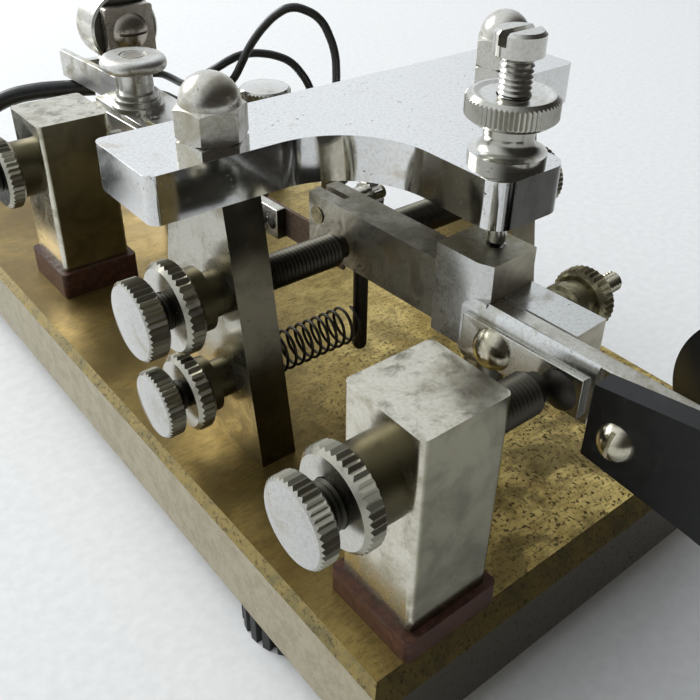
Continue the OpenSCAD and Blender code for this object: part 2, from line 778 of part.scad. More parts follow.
module bridge_plate() {
  color("lightgray") placed() translate([0, 0, pillar_h]) difference() {
    linear_extrude(bridge_t) difference() {
      union() {
        translate([0, (bridge_front + bridge_back) / 2])
          rounded_rect(2 * bridge_half, bridge_back - bridge_front, bridge_round);
        translate([0, (arm_end_y + bridge_back) / 2])
          rounded_rect(arm_w, bridge_back - arm_end_y, arm_round);
        for (s = [-1, 1]) translate([s * (arm_w + arm_fillet - 1) / 2, bridge_front - arm_fillet / 2 + 0.5])
          square([arm_fillet + 1, arm_fillet + 1], center = true);
      }
      for (s = [-1, 1]) translate([s * (arm_w / 2 + arm_fillet), bridge_front - arm_fillet])
        circle(arm_fillet, $fn = 96);
    }
    translate([axis_x, axis_y, -1]) cylinder(r = pivot_thread_r + turn_gap, h = bridge_t + 2);
    for (s = [-1, 1]) translate([side_x(s), stud_y, -1])
      cylinder(r = stud_r + fixed_gap, h = bridge_t + 2);
  }
}

module acorn_nuts() {
  color("lightgray") placed() for (s = [-1, 1]) translate([side_x(s), stud_y, bridge_z])
    difference() {
      union() {
        intersection() {
          rotate(43) cylinder(r = acorn_r, h = acorn_hex_h, $fn = 6);
          rotate_extrude() polygon([
            [0, 0], [acorn_r - 0.5, 0], [acorn_r + 0.2, 0.5], [acorn_r + 0.2, acorn_hex_h - 0.6],
            [acorn_dome_r, acorn_hex_h], [0, acorn_hex_h]]);
        }
        translate([0, 0, acorn_hex_h]) intersection() {
          sphere(acorn_dome_r);
          translate([0, 0, 3.9]) cube(8, center = true);
        }
      }
      translate([0, 0, -1]) cylinder(r = stud_r + fixed_gap, h = 5.2);
    }
}

module lower_pivot() {
  color("silver") placed() translate([axis_x, axis_y, 0]) difference() {
    union() {
      cylinder(r = pivot_stem_r, h = lever_z - 3.4);
      translate([0, 0, lever_z - 3.41]) cylinder(r = 1.5, h = 2.82);
      translate([0, 0, lever_z - 0.6]) cylinder(r1 = 1.5, r2 = 0.4, h = 1.6);
    }
    translate([0, 0, -1]) cylinder(r = fix_r + fixed_gap, h = fix_bite + 1.3);
  }
}

module contact_pad(x, y, t) {
  translate([-x, y, 0]) difference() {
    linear_extrude(t) rounded_rect(post_w + 2 * pad_over, post_w + 2 * pad_over, post_round);
    translate([0, 0, -1]) cylinder(r = fix_r + fixed_gap, h = t + 2);
  }
}

module contact_post(x, y, t) {
  translate([-x, y, t]) difference() {
    linear_extrude(post_h + pad_t - t) rounded_rect(post_w, post_w, post_round);
    translate([0, 0, -1]) cylinder(r = fix_r + fixed_gap, h = fix_bite + 1.3);
    translate([-post_w, 0, contact_z - t]) along_x()
      cylinder(r = contact_thread_r + turn_gap, h = post_w * 2);
  }
}

module dash_pad() {
  color("saddlebrown") placed() contact_pad(dash_post_x, dash_post_y, dash_pad_t);
}

module dot_pad() {
  color("saddlebrown") placed() contact_pad(dot_post_x, dot_post_y, pad_t);
}

module dash_post() {
  color("silver") placed() contact_post(dash_post_x, dash_post_y, dash_pad_t);
}

module dot_post() {
  color("silver") placed() contact_post(dot_post_x, dot_post_y, pad_t);
}

module left_stop_screw() {
  color("lightgray") placed() translate([-stop_face_x, stop_y, stop_z]) along_x()
    thumb_screw(stop_head_r, stop_head_t, stop_thread_r, 1.8, 1.4,
      stop_face_x + lever_left_x - stop_gap, knurl_teeth);
}

module right_stop_screw() {
  color("lightgray") placed() translate([stop_face_x, stop_y, stop_z]) rotate([0, -90, 0])
    thumb_screw(stop_head_r, stop_head_t, stop_thread_r, 1.8, 1.4,
      stop_face_x - lever_right_x - stop_gap, knurl_teeth);
}

stop_nut_l = stop_face_x - stop_head_t - 1.9 - pillar_out;
right_nut_l = stop_face_x - stop_head_t - 1.9 - pillar_right_x - pillar_t / 2;

module left_stop_nut() {
  color("silver") placed() translate([-pillar_out - stop_nut_l, stop_y, stop_z]) along_x()
    lock_nut(stop_nut_r, stop_nut_l, neck_l, stop_thread_r, knurl_teeth);
}

module right_stop_nut() {
  color("silver") placed() translate([stop_face_x - stop_head_t - 1.9, stop_y, stop_z])
    rotate([0, -90, 0]) lock_nut(stop_nut_r, right_nut_l, 0, stop_thread_r, knurl_teeth);
}

module tension_screw() {
  color("gray") placed() translate([-tension_face_x, stop_y, tension_z]) along_x()
    thumb_screw(tension_head_r, 3.2, tension_thread_r, 1.6, 1.5,
      tension_face_x + spring_left - wire_r - 0.1, knurl_teeth);
}

tension_nut_l = tension_face_x - 3.2 - 1.6 - pillar_out;

module tension_nut() {
  color("silver") placed() translate([-pillar_out - tension_nut_l, stop_y, tension_z]) along_x()
    lock_nut(tension_nut_r, tension_nut_l, neck_l, tension_thread_r, knurl_teeth_small);
}

module dash_screw() {
  color("lightgray") placed() translate([-dash_face_x, dash_post_y, contact_z]) along_x()
    thumb_screw(contact_head_r, contact_head_t, contact_thread_r, contact_tip_r, contact_tip_l,
      dash_face_x + dash_dome_x - dash_gap, knurl_teeth);
}

contact_nut_l = dash_face_x - contact_head_t - 2.4 - dash_post_x - post_w / 2;

module dash_nut() {
  color("silver") placed()
    translate([-dash_post_x - post_w / 2 - contact_nut_l, dash_post_y, contact_z]) along_x()
    lock_nut(contact_nut_r, contact_nut_l, 0, contact_thread_r, knurl_teeth);
}

module dot_screw() {
  color("lightgray") placed() translate([-dot_face_x, dot_post_y, contact_z]) along_x()
    thumb_screw(contact_head_r, contact_head_t, contact_thread_r, contact_tip_r, contact_tip_l,
      dot_face_x + dot_dome_x - dot_gap, knurl_teeth);
}

module dot_nut() {
  color("silver") placed()
    translate([-dot_post_x - post_w / 2 - contact_nut_l, dot_post_y, contact_z]) along_x()
    lock_nut(contact_nut_r, contact_nut_l, 0, contact_thread_r, knurl_teeth);
}

module top_pivot_screw() {
  color("gray") placed() translate([axis_x, axis_y, 0]) difference() {
    union() {
      translate([0, 0, pivot_top_z - pivot_head_h]) rotate_extrude() polygon([
        [0, 0], [pivot_head_r, 0], [pivot_head_r, pivot_head_h - 0.4],
        [pivot_head_r - 0.4, pivot_head_h], [0, pivot_head_h]]);
      translate([0, 0, pillar_h - 0.2]) threaded_rod(pivot_thread_r,
        pivot_top_z - pivot_head_h - pillar_h + 0.21);
      translate([0, 0, block_top_z + 0.59]) cylinder(r = pivot_pin_r, h = pillar_h - block_top_z - 0.5);
      translate([0, 0, block_top_z - 1]) cylinder(r1 = 0.4, r2 = pivot_pin_r, h = 1.6);
    }
    translate([-5, -0.65, pivot_top_z - 1.6]) cube([10, 1.3, 2]);
  }
}

pivot_flare = pivot_flange_r - pivot_neck_r;

module pivot_lock_nut() {
  color("silver") placed() translate([axis_x, axis_y, bridge_z]) difference() {
    union() {
      rotate_extrude() difference() {
        union() {
          square([pivot_flange_r, pivot_flare + 1]);
          square([pivot_neck_r, 4.9]);
        }
        translate([pivot_neck_r + pivot_flare, pivot_flare + 1.05]) circle(pivot_flare + 0.05);
      }
      translate([0, 0, 4.8]) knurled_disc(pivot_nut_r, pivot_rim_t, knurl_teeth_fine, 0.7);
    }
    translate([0, 0, 4.55 + pivot_rim_t]) cylinder(r1 = pivot_nut_r - 1.7, r2 = pivot_nut_r - 0.9, h = 0.3);
    translate([0, 0, -1]) cylinder(r = pivot_thread_r + turn_gap, h = 12);
  }
}

module pivot_block() {
  color("lightgray") on_lever() difference() {
    union() {
      translate([-block_left, -block_front, lever_z])
        cube([block_left + block_right, block_front + block_back, block_h]);
      translate([-cheek_in, 0.5, 0]) rotate([90, 0, 0]) linear_extrude(cheek_left_l + 0.5) polygon([
        [-cheek_out + cheek_in, lever_z], [0, lever_z], [0, cheek_z],
        [-cheek_out + cheek_in, cheek_z - 1.5]]);
      translate([-finger_right + fixed_gap, -cheek_right_l, lever_z])
        cube([cheek_right + finger_right - fixed_gap, cheek_right_l, cheek_h]);
    }
    translate([0, 0, cheek_z]) linear_extrude(block_h) polygon([
      [-block_left - 0.2, -block_front - 0.1], [-block_left + block_bevel, -block_front - 0.1],
      [-block_left - 0.2, -block_front + block_bevel_l]]);
    translate([-bar_w / 2, block_back - 2, lever_z - 1]) cube([bar_w, 3, bar_h + 1]);
    translate([axis_u, axis_v, block_top_z - 1.35]) cylinder(r1 = 0.55, r2 = 1.45, h = 1.6);
    translate([axis_u, axis_v, lever_z - 0.25]) cylinder(r1 = 1.65, r2 = 0.55, h = 1.6);
    translate([-2 * cheek_out, -arm_screw_v, arm_screw_z]) along_x()
      cylinder(r = arm_screw_r + fixed_gap, h = 4 * cheek_out);
  }
}

module lever_bar() {
  color("silver") on_lever() difference() {
    translate([-bar_w / 2, block_back - 2, lever_z]) cube([bar_w, bar_end - block_back + 2, bar_h]);
    translate([-flat_t / 2 - swing_gap, clamp_v - 3.6, lever_z - 1])
      cube([flat_t + 2 * swing_gap, 10, bar_h + 2]);
    translate([-5, clamp_v, clamp_z]) along_x() cylinder(r = clamp_r + fixed_gap, h = 10);
    translate([0, stop_v, lever_z - 1]) cylinder(r = pin_r + fixed_gap, h = 4.3);
  }
}

module finger_arm() {
  color("gray") on_lever() difference() {
    translate([-finger_left, -finger_l, lever_z]) cube([finger_t, finger_l - block_front, cheek_h - 0.1]);
    translate([-2 * cheek_out, -arm_screw_v, arm_screw_z]) along_x()
      cylinder(r = arm_screw_r + fixed_gap, h = 4 * cheek_out);
    translate([-8, -paddle_screw_v, paddle_screw_z]) along_x() cylinder(r = 1.2 + fixed_gap, h = 16);
  }
}

module contact_strip() {
  color("silver") on_lever() difference() {
    translate([-strip_out, -strip_l, contact_z - strip_h / 2 + 0.3]) cube([strip_t, strip_l - 0.6, strip_h]);
    translate([-2 * cheek_out, -arm_screw_v, arm_screw_z]) along_x()
      cylinder(r = arm_screw_r + fixed_gap, h = 4 * cheek_out);
  }
}

// low dome whose flat side lies at zero and whose top points along z
module low_dome(r, h) {
  big = (r * r + h * h) / (2 * h);
  intersection() {
    translate([0, 0, h - big]) sphere(big);
    cylinder(r = r + 0.1, h = h + 1);
  }
}

module contact_dome() {
  color("dimgray") on_lever() translate([-strip_out, dash_v - button_ahead, contact_z]) rotate([0, -90, 0])
    low_dome(button_r, button_h);
}

module arm_screw() {
  color("goldenrod") on_lever() translate([-strip_out, -arm_screw_v, arm_screw_z]) {
    rotate([0, -90, 0]) low_dome(arm_head_r, 2.1);
    along_x() cylinder(r = arm_screw_r, h = strip_out + cheek_right);
    translate([strip_out + cheek_right - 0.01, 0, 0]) along_x() threaded_rod(arm_screw_r,
      arm_nut_u + 9.1 - cheek_right);
  }
}

module arm_nut() {
  color("darkgoldenrod") on_lever() translate([cheek_right, -arm_screw_v, arm_screw_z]) along_x()
    difference() {
      union() {
        rotate_extrude() polygon([
          [0, 0], [3.2, 0], [3.6, 0.6], [3.6, 2.4], [3.2, 2.8], [3.2, 3.2], [3.7, 3.6], [3.7, 5.2],
          [3.3, 5.6], [3.3, arm_nut_u - cheek_right + 0.1], [0, arm_nut_u - cheek_right + 0.1]]);
        translate([0, 0, arm_nut_u - cheek_right]) knurled_disc(arm_nut_r, 3, knurl_teeth_small);
      }
      translate([0, 0, -1]) cylinder(r = arm_screw_r + turn_gap, h = arm_nut_u + 1);
    }
}

module thumb_paddle() {
  color("black") on_lever() difference() {
    translate([-finger_left - paddle_t, 0, 0]) rotate([90, 0, 90]) linear_extrude(paddle_t) {
      polygon([
        [-paddle_rear, paddle_z - paddle_rear_h / 2], [-paddle_rear, paddle_z + paddle_rear_h / 2],
        [-paddle_round_v, paddle_z + paddle_round_r], [-paddle_round_v, paddle_z - paddle_round_r]]);
      translate([-paddle_round_v, paddle_z]) circle(paddle_round_r);
    }
    translate([-20, -paddle_screw_v, paddle_screw_z]) along_x() cylinder(r = 1.2 + fixed_gap, h = 30);
  }
}

module paddle_screw() {
  color("silver") on_lever() translate([-finger_left - paddle_t, -paddle_screw_v, paddle_screw_z]) {
    rotate([0, -90, 0]) slotted_dome(paddle_head_r, 1.8);
    along_x() cylinder(r = 1.2, h = paddle_t + finger_t);
  }
}

module finger_knob() {
  color("black") on_lever() translate([-finger_right, -knob_v, knob_z]) along_x() rotate_extrude()
    polygon([
      [0, 0], [knob_stem_r, 0], [knob_stem_r, 2.5], [knob_stem_r + 0.6, 5],
      [knob_r - 1.2, knob_rim_u + finger_right], [knob_r, knob_rim_u + finger_right + 0.8],
      [knob_r, knob_rim_u + finger_right + knob_rim_t - 1],
      [knob_r - 1.4, knob_rim_u + finger_right + knob_rim_t],
      [0, knob_rim_u + finger_right + knob_rim_t + 1.2]]);
}

module spring_pin() {
  color("black") on_lever() translate([0, stop_v, 0]) {
    translate([0, 0, pin_low_z]) cylinder(r = pin_r, h = lever_z + 3 - pin_low_z);
    translate([0, 0, pin_low_z]) intersection() {
      sphere(pin_r);
      translate([0, 0, -2]) cube(4, center = true);
    }
  }
}

module clamp_screw() {
  color("goldenrod") on_lever() translate([-bar_w / 2 - 0.2, clamp_v, clamp_z]) along_x() {
    cylinder(r = clamp_r, h = bar_w + 0.3);
    translate([0, 0, bar_w + 0.29]) threaded_rod(clamp_r, 7.6);
  }
}

module clamp_nut() {
  color("silver") on_lever() translate([bar_w / 2, clamp_v, clamp_z]) along_x() difference() {
    union() {
      cylinder(r = 2, h = 4.1);
      translate([0, 0, 4]) knurled_disc(2.7, 2, 20, 0.3);
    }
    translate([0, 0, -1]) cylinder(r = clamp_r + turn_gap, h = 10);
  }
}

module return_spring() {
  echo(spring_gap = least_gap(spring_points, wire_r, 7));
  color("dimgray") placed() tube(spring_points, wire_r, 6);
}

module flat_spring() {
  color("sienna") on_lever() difference() {
    translate([-flat_t / 2, 0, 0]) rotate([90, 0, 90]) linear_extrude(flat_t) polygon([
      [clamp_v - 3, flat_low], [strip_start + 5.5, flat_low], [strip_start + 5.5, flat_low + flat_h],
      [bar_end + 3, flat_low + flat_h], [bar_end + 1, clamp_z + 2], [clamp_v - 3, clamp_z + 2]]);
    translate([-5, clamp_v, clamp_z]) along_x() cylinder(r = clamp_r + swing_gap, h = 10);
    for (v = [1.6, 4]) translate([-5, strip_start + v, strip_mid_z]) along_x()
      cylinder(r = 0.7 + fixed_gap, h = 10);
  }
}

module pendulum_strip() {
  color("silver") on_lever() difference() {
    translate([-strip_bar_left, strip_start, strip_bar_z])
      cube([strip_bar_t, strip_end - strip_start, strip_bar_h]);
    for (v = [1.6, 4]) translate([-5, strip_start + v, strip_mid_z]) along_x()
      cylinder(r = 0.7 + fixed_gap, h = 10);
  }
}

module pendulum_rivets() {
  color("gray") on_lever() for (v = [1.6, 4])
    translate([-strip_bar_left, strip_start + v, strip_mid_z]) {
      along_x() cylinder(r = 0.7, h = strip_bar_t + flat_t);
      rotate([0, -90, 0]) low_dome(1.2, 0.5);
    }
}

module dot_contact() {
  color("goldenrod") on_lever() {
    translate([-strip_bar_left - dot_leaf_t, dot_v - 6, strip_bar_z + 0.3])
      cube([dot_leaf_t, 9, contact_z + 2.2 - strip_bar_z - 0.3]);
    translate([-strip_bar_left - dot_leaf_t + 0.02, dot_v, contact_z]) rotate([0, -90, 0])
      low_dome(1.9, dot_button_h + 0.02);
  }
}

module speed_weight() {
  color("silver") on_lever() difference() {
    translate([-strip_bar_left + strip_bar_t / 2, weight_v + weight_l / 2, strip_mid_z])
      rotate([90, 0, 0]) cylinder(r = weight_r, h = weight_l);
    translate([-strip_bar_left - swing_gap, weight_v - weight_l, strip_bar_z - swing_gap])
      cube([strip_bar_t + 2 * swing_gap, weight_l * 2, strip_bar_h + 2 * swing_gap]);
    translate([-strip_bar_left + strip_bar_t / 2, weight_v, strip_mid_z])
      cylinder(r = 1.3 + turn_gap, h = weight_r + 2);
  }
}

module weight_screw() {
  color("gray") on_lever()
    translate([-strip_bar_left + strip_bar_t / 2, weight_v, strip_bar_z + strip_bar_h + 0.3]) {
      cylinder(r = 1.3, h = 3.4);
      translate([0, 0, 3.3]) knurled_disc(weight_head_r, 2.2, 24, 0.3);
    }
}

module damper_post() {
  color("silver") placed() difference() {
    translate([damper_x - spacer_left, spacer_front, 0])
      cube([spacer_w, spacer_l, plate_z]);
    for (y = [damper_fix_front, damper_fix_rear]) translate([damper_x + 3, y, -1])
      cylinder(r = fix_r + fixed_gap, h = fix_bite + 1.3);
    translate([damper_x, damper_knob_y, 6]) cylinder(r = 1.9 + fixed_gap, h = 20);
  }
}

module damper_bracket() {
  color("silver") placed() difference() {
    union() {
      translate([-plate_left, plate_front, plate_z])
        cube([plate_w, plate_back - plate_front, plate_t]);
      translate([0, 0, damper_arm_z]) linear_extrude(damper_arm_h) polygon([
        damper_arm_near, damper_arm_near + [damper_arm_t, 0],
        damper_arm_far + [damper_arm_t, 0], damper_arm_far]);
      translate([damper_arm_far[0] + 0.2, upright_y, damper_arm_z])
        cube([disc_x - damper_arm_far[0], upright_t, 3]);
      translate([disc_x - 3, upright_y, damper_arm_z])
        cube([6, upright_t, disc_z + 4 - damper_arm_z]);
    }
    translate([damper_x, damper_knob_y, plate_z - 1]) cylinder(r = 1.9 + fixed_gap, h = 6);
    translate([2.6, 124.9, plate_z - 1]) cylinder(r = 0.9, h = 6);
    translate([disc_x, upright_y + 5, disc_z]) rotate([90, 0, 0]) cylinder(r = 1.5 + fixed_gap, h = 10);
  }
}

module damper_boss() {
  color("silver") placed() translate([disc_x, disc_front - boss_gap, disc_z]) rotate([90, 0, 0])
    difference() {
      linear_extrude(boss_t) rounded_rect(11.6, 11.6, 0.6);
      translate([0, 0, -1]) cylinder(r = 1.5 + fixed_gap, h = 6);
    }
}

module damper_pins() {
  color("gray") placed() translate([disc_x, boss_front, disc_z]) rotate([90, 0, 0]) {
    slotted_dome(4.3, 2.4);
    translate([0, 0, boss_front - damper_arm_far[1]]) cylinder(r = 1.5, h = damper_arm_far[1] - boss_front);
  }
  color("gray") placed() translate([damper_x, damper_knob_y, 6.3]) cylinder(r = 1.9, h = 24.6);
}

module damper_knob() {
  color("silver") placed() translate([damper_x, damper_knob_y, plate_z + plate_t]) difference() {
    rotate_extrude() difference() {
      union() {
        square([5.7, 1.1]);
        square([5, 2.4]);
        square([4.5, 3.6]);
        square([3.7, 9]);
        translate([0, 8]) square([damper_knob_r - 1.7, 3.4]);
        translate([damper_knob_r - 1.7, 9.7]) circle(1.7);
      }
      translate([6.4, 6.1]) circle(2.6);
      translate([2.4, 11.1]) square([0.5, 2]);
      translate([-10, -1]) square([10, 20]);
    }
    translate([0, 0, -1]) cylinder(r = 1.9 + turn_gap, h = 14);
  }
}

module damper_disc() {
  color("lightgray") placed() translate([disc_x, disc_front + disc_t, disc_z]) rotate([90, 0, 0])
    rotate_extrude() polygon([
      [1.5 + turn_gap, 0], [disc_r - 0.5, 0], [disc_r, 0.5], [disc_r, disc_t - 0.5],
      [disc_r - 0.5, disc_t], [1.5 + turn_gap, disc_t]]);
}

module terminal_posts() {
  color("darkgoldenrod") placed() for (y = [terminal_rear_y, terminal_front_y])
    translate([terminal_x, y, 0]) difference() {
      union() {
        cylinder(r = 4.2, h = 5);
        translate([0, 0, 4.99]) cylinder(r = 1.9, h = terminal_top - 7.6);
      }
      translate([0, 0, -1]) cylinder(r = fix_r + fixed_gap, h = fix_bite + 1.3);
    }
}

module terminal_nut(y) {
  translate([terminal_x, y, 9.2]) difference() {
    union() {
      cylinder(r = 3.4, h = terminal_top - 12.9);
      translate([0, 0, terminal_top - 13]) knurled_disc(terminal_r, 3.8, knurl_teeth, 0.6);
      translate([0, 0, terminal_top - 9.22]) low_dome(terminal_r - 1, 0.5);
    }
    translate([0, 0, -1]) cylinder(r = 1.9 + turn_gap, h = terminal_top - 10.4);
  }
}

module rear_terminal_nut() {
  color("darkgoldenrod") placed() terminal_nut(terminal_rear_y);
}

module front_terminal_nut() {
  color("darkgoldenrod") placed() terminal_nut(terminal_front_y);
}

module lead_wires() {
  color("black") placed() {
    tube(smooth(rear_route, 2), lead_r, 8);
    tube(smooth(front_route, 2), lead_r, 8);
  }
}

module lead_cord() {
  color("black") placed() tube(cord_line, cord_r, 8);
}

module cord_coil() {
  echo(coil_gap = least_gap(concat(coil_line, tail_line), cord_r, 8));
  color("black") placed() {
    tube(coil_line, cord_r, 6);
    tube(tail_line, cord_r, 6);
  }
}

module jack_plug() {
  color("dimgray") placed() translate(jack_at)
    rotate([0, 90, 0]) rotate_extrude() polygon([
      [0, 0], [3.4, 0], [4.4, 3], [jack_grip_r, 4], [jack_grip_r, jack_grip_l - 1],
      [jack_grip_r - 1, jack_grip_l], [jack_r, jack_grip_l], [jack_r, jack_grip_l + 24],
      [jack_r - 0.6, jack_grip_l + 24.4], [jack_r - 0.6, jack_grip_l + 25.6],
      [jack_r, jack_grip_l + 26.2], [jack_r - 0.9, jack_grip_l + 28], [jack_r, jack_grip_l + 29.2],
      [jack_r - 1.8, jack_grip_l + 31], [0, jack_grip_l + 31]]);
}

base_plate();
rubber_feet();
foot_screws();
base_screws();
post_bushes();
left_pillar();
right_pillar();
bridge_studs();
bridge_plate();
acorn_nuts();
lower_pivot();
dash_pad();
dash_post();
dot_pad();
dot_post();
damper_post();
damper_bracket();
damper_boss();
damper_pins();
terminal_posts();
top_pivot_screw();
pivot_lock_nut();
left_stop_screw();
left_stop_nut();
right_stop_screw();
right_stop_nut();
tension_screw();
tension_nut();
dash_screw();
dash_nut();
dot_screw();
dot_nut();
damper_knob();
damper_disc();
rear_terminal_nut();
front_terminal_nut();
pivot_block();
lever_bar();
finger_arm();
contact_strip();
contact_dome();
arm_screw();
arm_nut();
thumb_paddle();
paddle_screw();
finger_knob();
spring_pin();
clamp_screw();
clamp_nut();
return_spring();
flat_spring();
pendulum_strip();
pendulum_rivets();
dot_contact();
speed_weight();
weight_screw();
lead_wires();
lead_cord();
cord_coil();
jack_plug();
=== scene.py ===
"""Looks of the semi-automatic telegraph key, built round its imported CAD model."""

import math
from collections import namedtuple

import bpy
from mathutils import Matrix, Vector


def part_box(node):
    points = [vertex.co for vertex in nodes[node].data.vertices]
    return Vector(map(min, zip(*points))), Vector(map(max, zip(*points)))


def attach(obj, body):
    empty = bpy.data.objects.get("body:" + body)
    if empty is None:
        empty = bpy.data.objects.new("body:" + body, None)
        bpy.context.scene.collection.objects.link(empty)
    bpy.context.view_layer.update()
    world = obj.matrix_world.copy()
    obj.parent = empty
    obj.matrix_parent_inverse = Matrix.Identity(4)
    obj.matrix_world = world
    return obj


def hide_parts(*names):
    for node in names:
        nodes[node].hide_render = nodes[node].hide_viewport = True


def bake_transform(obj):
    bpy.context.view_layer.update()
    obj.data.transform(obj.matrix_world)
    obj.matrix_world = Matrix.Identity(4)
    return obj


MM = 0.001

# Frame of the CAD source, from which the camera and the cable were laid out
KEY_MID_X = -1.65
KEY_MID_Y = 71.094
KEY_TOP_Z = 18.5

# Camera of the photograph, in that frame and in pixels of a 700 pixel picture
PICTURE = 700
CAMERA_AT = (-75.82, -40.99, 88.02)
CAMERA_YAW = 41.07
CAMERA_PITCH = -34.33
CAMERA_ROLL = 2.2
FOCAL_PIXELS = 867.24
CENTRE_X = 381.5
CENTRE_Y = 329.06
SENSOR = 36.0
CLIP_START = 0.01

# Directions that faces look along
UPWARD = (0, 0, 1)
FRONTWARD = (0, -1, 0)

# Sockets of a mix node, where numbers and colours share their names
MIX_FACTOR = 0
MIX_NUMBER_A = 2
MIX_NUMBER_B = 3
MIX_NUMBER_OUT = 0
MIX_COLOUR_A = 6
MIX_COLOUR_B = 7
MIX_COLOUR_OUT = 2

# Noise level at which specks begin, its fall with their share, and the softness of their edge
SPECK_LEVEL = 0.74
SPECK_FALL = 0.5
SPECK_EDGE = 0.06
# Softness of a change of colour at a height, in millimetres
HEIGHT_BLUR = 0.2


def at_key(x, y, z):
    """Point of the CAD source's frame, in millimetres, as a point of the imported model."""
    return Vector(((x - KEY_MID_X) * MM, (y - KEY_MID_Y) * MM, (z + KEY_TOP_Z) * MM))


def dimmed(colour, share):
    return tuple(share * c for c in colour)


class Nodes:
    """Short calls for building one material's node tree."""

    def __init__(self, name):
        self.material = bpy.data.materials.new(name)
        self.material.use_nodes = True
        self.tree = self.material.node_tree
        self.shader = self.tree.nodes["Principled BSDF"]
        coords = self.tree.nodes.new("ShaderNodeTexCoord")
        self.place = coords.outputs["Object"]

    def link(self, source, target):
        self.tree.links.new(source, target)

    def feed(self, socket, value):
        """Sets a socket from a number, a colour or another node's output."""
        if isinstance(value, tuple):
            socket.default_value = (*value, 1.0)
        elif isinstance(value, (int, float)):
            socket.default_value = value
        else:
            self.link(value, socket)

    def scaled(self, sx, sy, sz, turn):
        """Object coordinates in millimetres, stretched along the axes."""
        node = self.tree.nodes.new("ShaderNodeMapping")
        node.inputs["Scale"].default_value = (sx / MM, sy / MM, sz / MM)
        node.inputs["Rotation"].default_value = (0, 0, math.radians(turn))
        self.link(self.place, node.inputs["Vector"])
        return node.outputs["Vector"]

    def noise(self, scale, detail=4, rough=0.55, stretch=(1, 1, 1), distort=0.0, turn=0.0):
        """Noise with a scale in cells per millimetre."""
        node = self.tree.nodes.new("ShaderNodeTexNoise")
        node.inputs["Scale"].default_value = 1.0
        node.inputs["Detail"].default_value = detail
        node.inputs["Roughness"].default_value = rough
        node.inputs["Distortion"].default_value = distort
        spread = [scale * s for s in stretch]
        self.link(self.scaled(*spread, turn), node.inputs["Vector"])
        return node.outputs["Fac"]

    def specks(self, scale, share, stretch=(1, 1, 1), turn=0.0):
        """Small irregular dark spots that cover about a share of the surface."""
        low = SPECK_LEVEL - SPECK_FALL * share
        field = self.noise(scale, detail=3, rough=0.6, stretch=stretch, distort=0.3, turn=turn)
        return self.ramp(field, low, low + SPECK_EDGE)

    def ramp(self, source, low, high, start=0.0, end=1.0):
        """Smooth step of source between low and high."""
        node = self.tree.nodes.new("ShaderNodeMapRange")
        node.interpolation_type = "SMOOTHSTEP"
        for key, value in (("From Min", low), ("From Max", high), ("To Min", start), ("To Max", end)):
            node.inputs[key].default_value = value
        self.link(source, node.inputs["Value"])
        return node.outputs["Result"]

    def math(self, kind, a, b):
        """Result of two numbers, held between zero and one."""
        node = self.tree.nodes.new("ShaderNodeMath")
        node.operation = kind
        node.use_clamp = True
        self.feed(node.inputs[0], a)
        self.feed(node.inputs[1], b)
        return node.outputs[0]

    def times(self, a, b):
        return self.math("MULTIPLY", a, b)

    def mix(self, factor, a, b):
        """Blend of two colours."""
        node = self.tree.nodes.new("ShaderNodeMix")
        node.data_type = "RGBA"
        self.feed(node.inputs[MIX_FACTOR], factor)
        self.feed(node.inputs[MIX_COLOUR_A], a)
        self.feed(node.inputs[MIX_COLOUR_B], b)
        return node.outputs[MIX_COLOUR_OUT]

    def between(self, factor, a, b):
        """Blend of two numbers."""
        node = self.tree.nodes.new("ShaderNodeMix")
        self.feed(node.inputs[MIX_FACTOR], factor)
        self.feed(node.inputs[MIX_NUMBER_A], a)
        self.feed(node.inputs[MIX_NUMBER_B], b)
        return node.outputs[MIX_NUMBER_OUT]

    def vector(self, kind, a, b=None):
        node = self.tree.nodes.new("ShaderNodeVectorMath")
        node.operation = kind
        self.link(a, node.inputs[0])
        if b is not None:
            node.inputs[1].default_value = b
        return node.outputs["Value" if kind in ("LENGTH", "DOT_PRODUCT") else "Vector"]

    def radius(self, axis, through):
        """Distance in millimetres from a line along one axis through a point of the key's frame."""
        keep = [0.0 if letter == axis else 1 / MM for letter in "XYZ"]
        offset = self.vector("SUBTRACT", self.place, at_key(*through))
        return self.vector("LENGTH", self.vector("MULTIPLY", offset, keep))

    def along(self, direction):
        """Cosine between a face and a direction."""
        geometry = self.tree.nodes.new("ShaderNodeNewGeometry")
        return self.vector("DOT_PRODUCT", geometry.outputs["True Normal"], direction)

    def facing(self, axis, low=0.7, high=0.9):
        """One on faces square to an axis, zero on others."""
        pick = [1.0 if letter == axis else 0.0 for letter in "XYZ"]
        node = self.tree.nodes.new("ShaderNodeMath")
        node.operation = "ABSOLUTE"
        self.link(self.along(pick), node.inputs[0])
        return self.ramp(node.outputs[0], low, high)

    def towards(self, direction, low, high):
        """One on faces that look along a direction."""
        return self.ramp(self.along(direction), low, high)

    def above(self, height_mm):
        """One above a height of the key's frame."""
        up = self.vector("DOT_PRODUCT", self.place, (0, 0, 1 / MM))
        level = height_mm + KEY_TOP_Z
        return self.ramp(up, level - HEIGHT_BLUR, level + HEIGHT_BLUR)

    def bump(self, height, strength, distance_mm):
        node = self.tree.nodes.new("ShaderNodeBump")
        node.inputs["Strength"].default_value = strength
        node.inputs["Distance"].default_value = distance_mm * MM
        self.link(height, node.inputs["Height"])
        self.link(node.outputs["Normal"], self.shader.inputs["Normal"])


# Points on the screws' axes and the upright pivot axis, in the key's frame
STOP_AXIS = (0, 50, 24.3)
TENSION_AXIS = (0, 50, 9.8)
DASH_AXIS = (0, 9.1, 23.7)
DOT_AXIS = (0, 106.1, 23.7)
PIVOT_AXIS = (0.85, 24.94, 0)
# Middle of the key, and a reach in millimetres that takes in all of it
MIDDLE = (0, 60, 0)
WHOLE = 1000

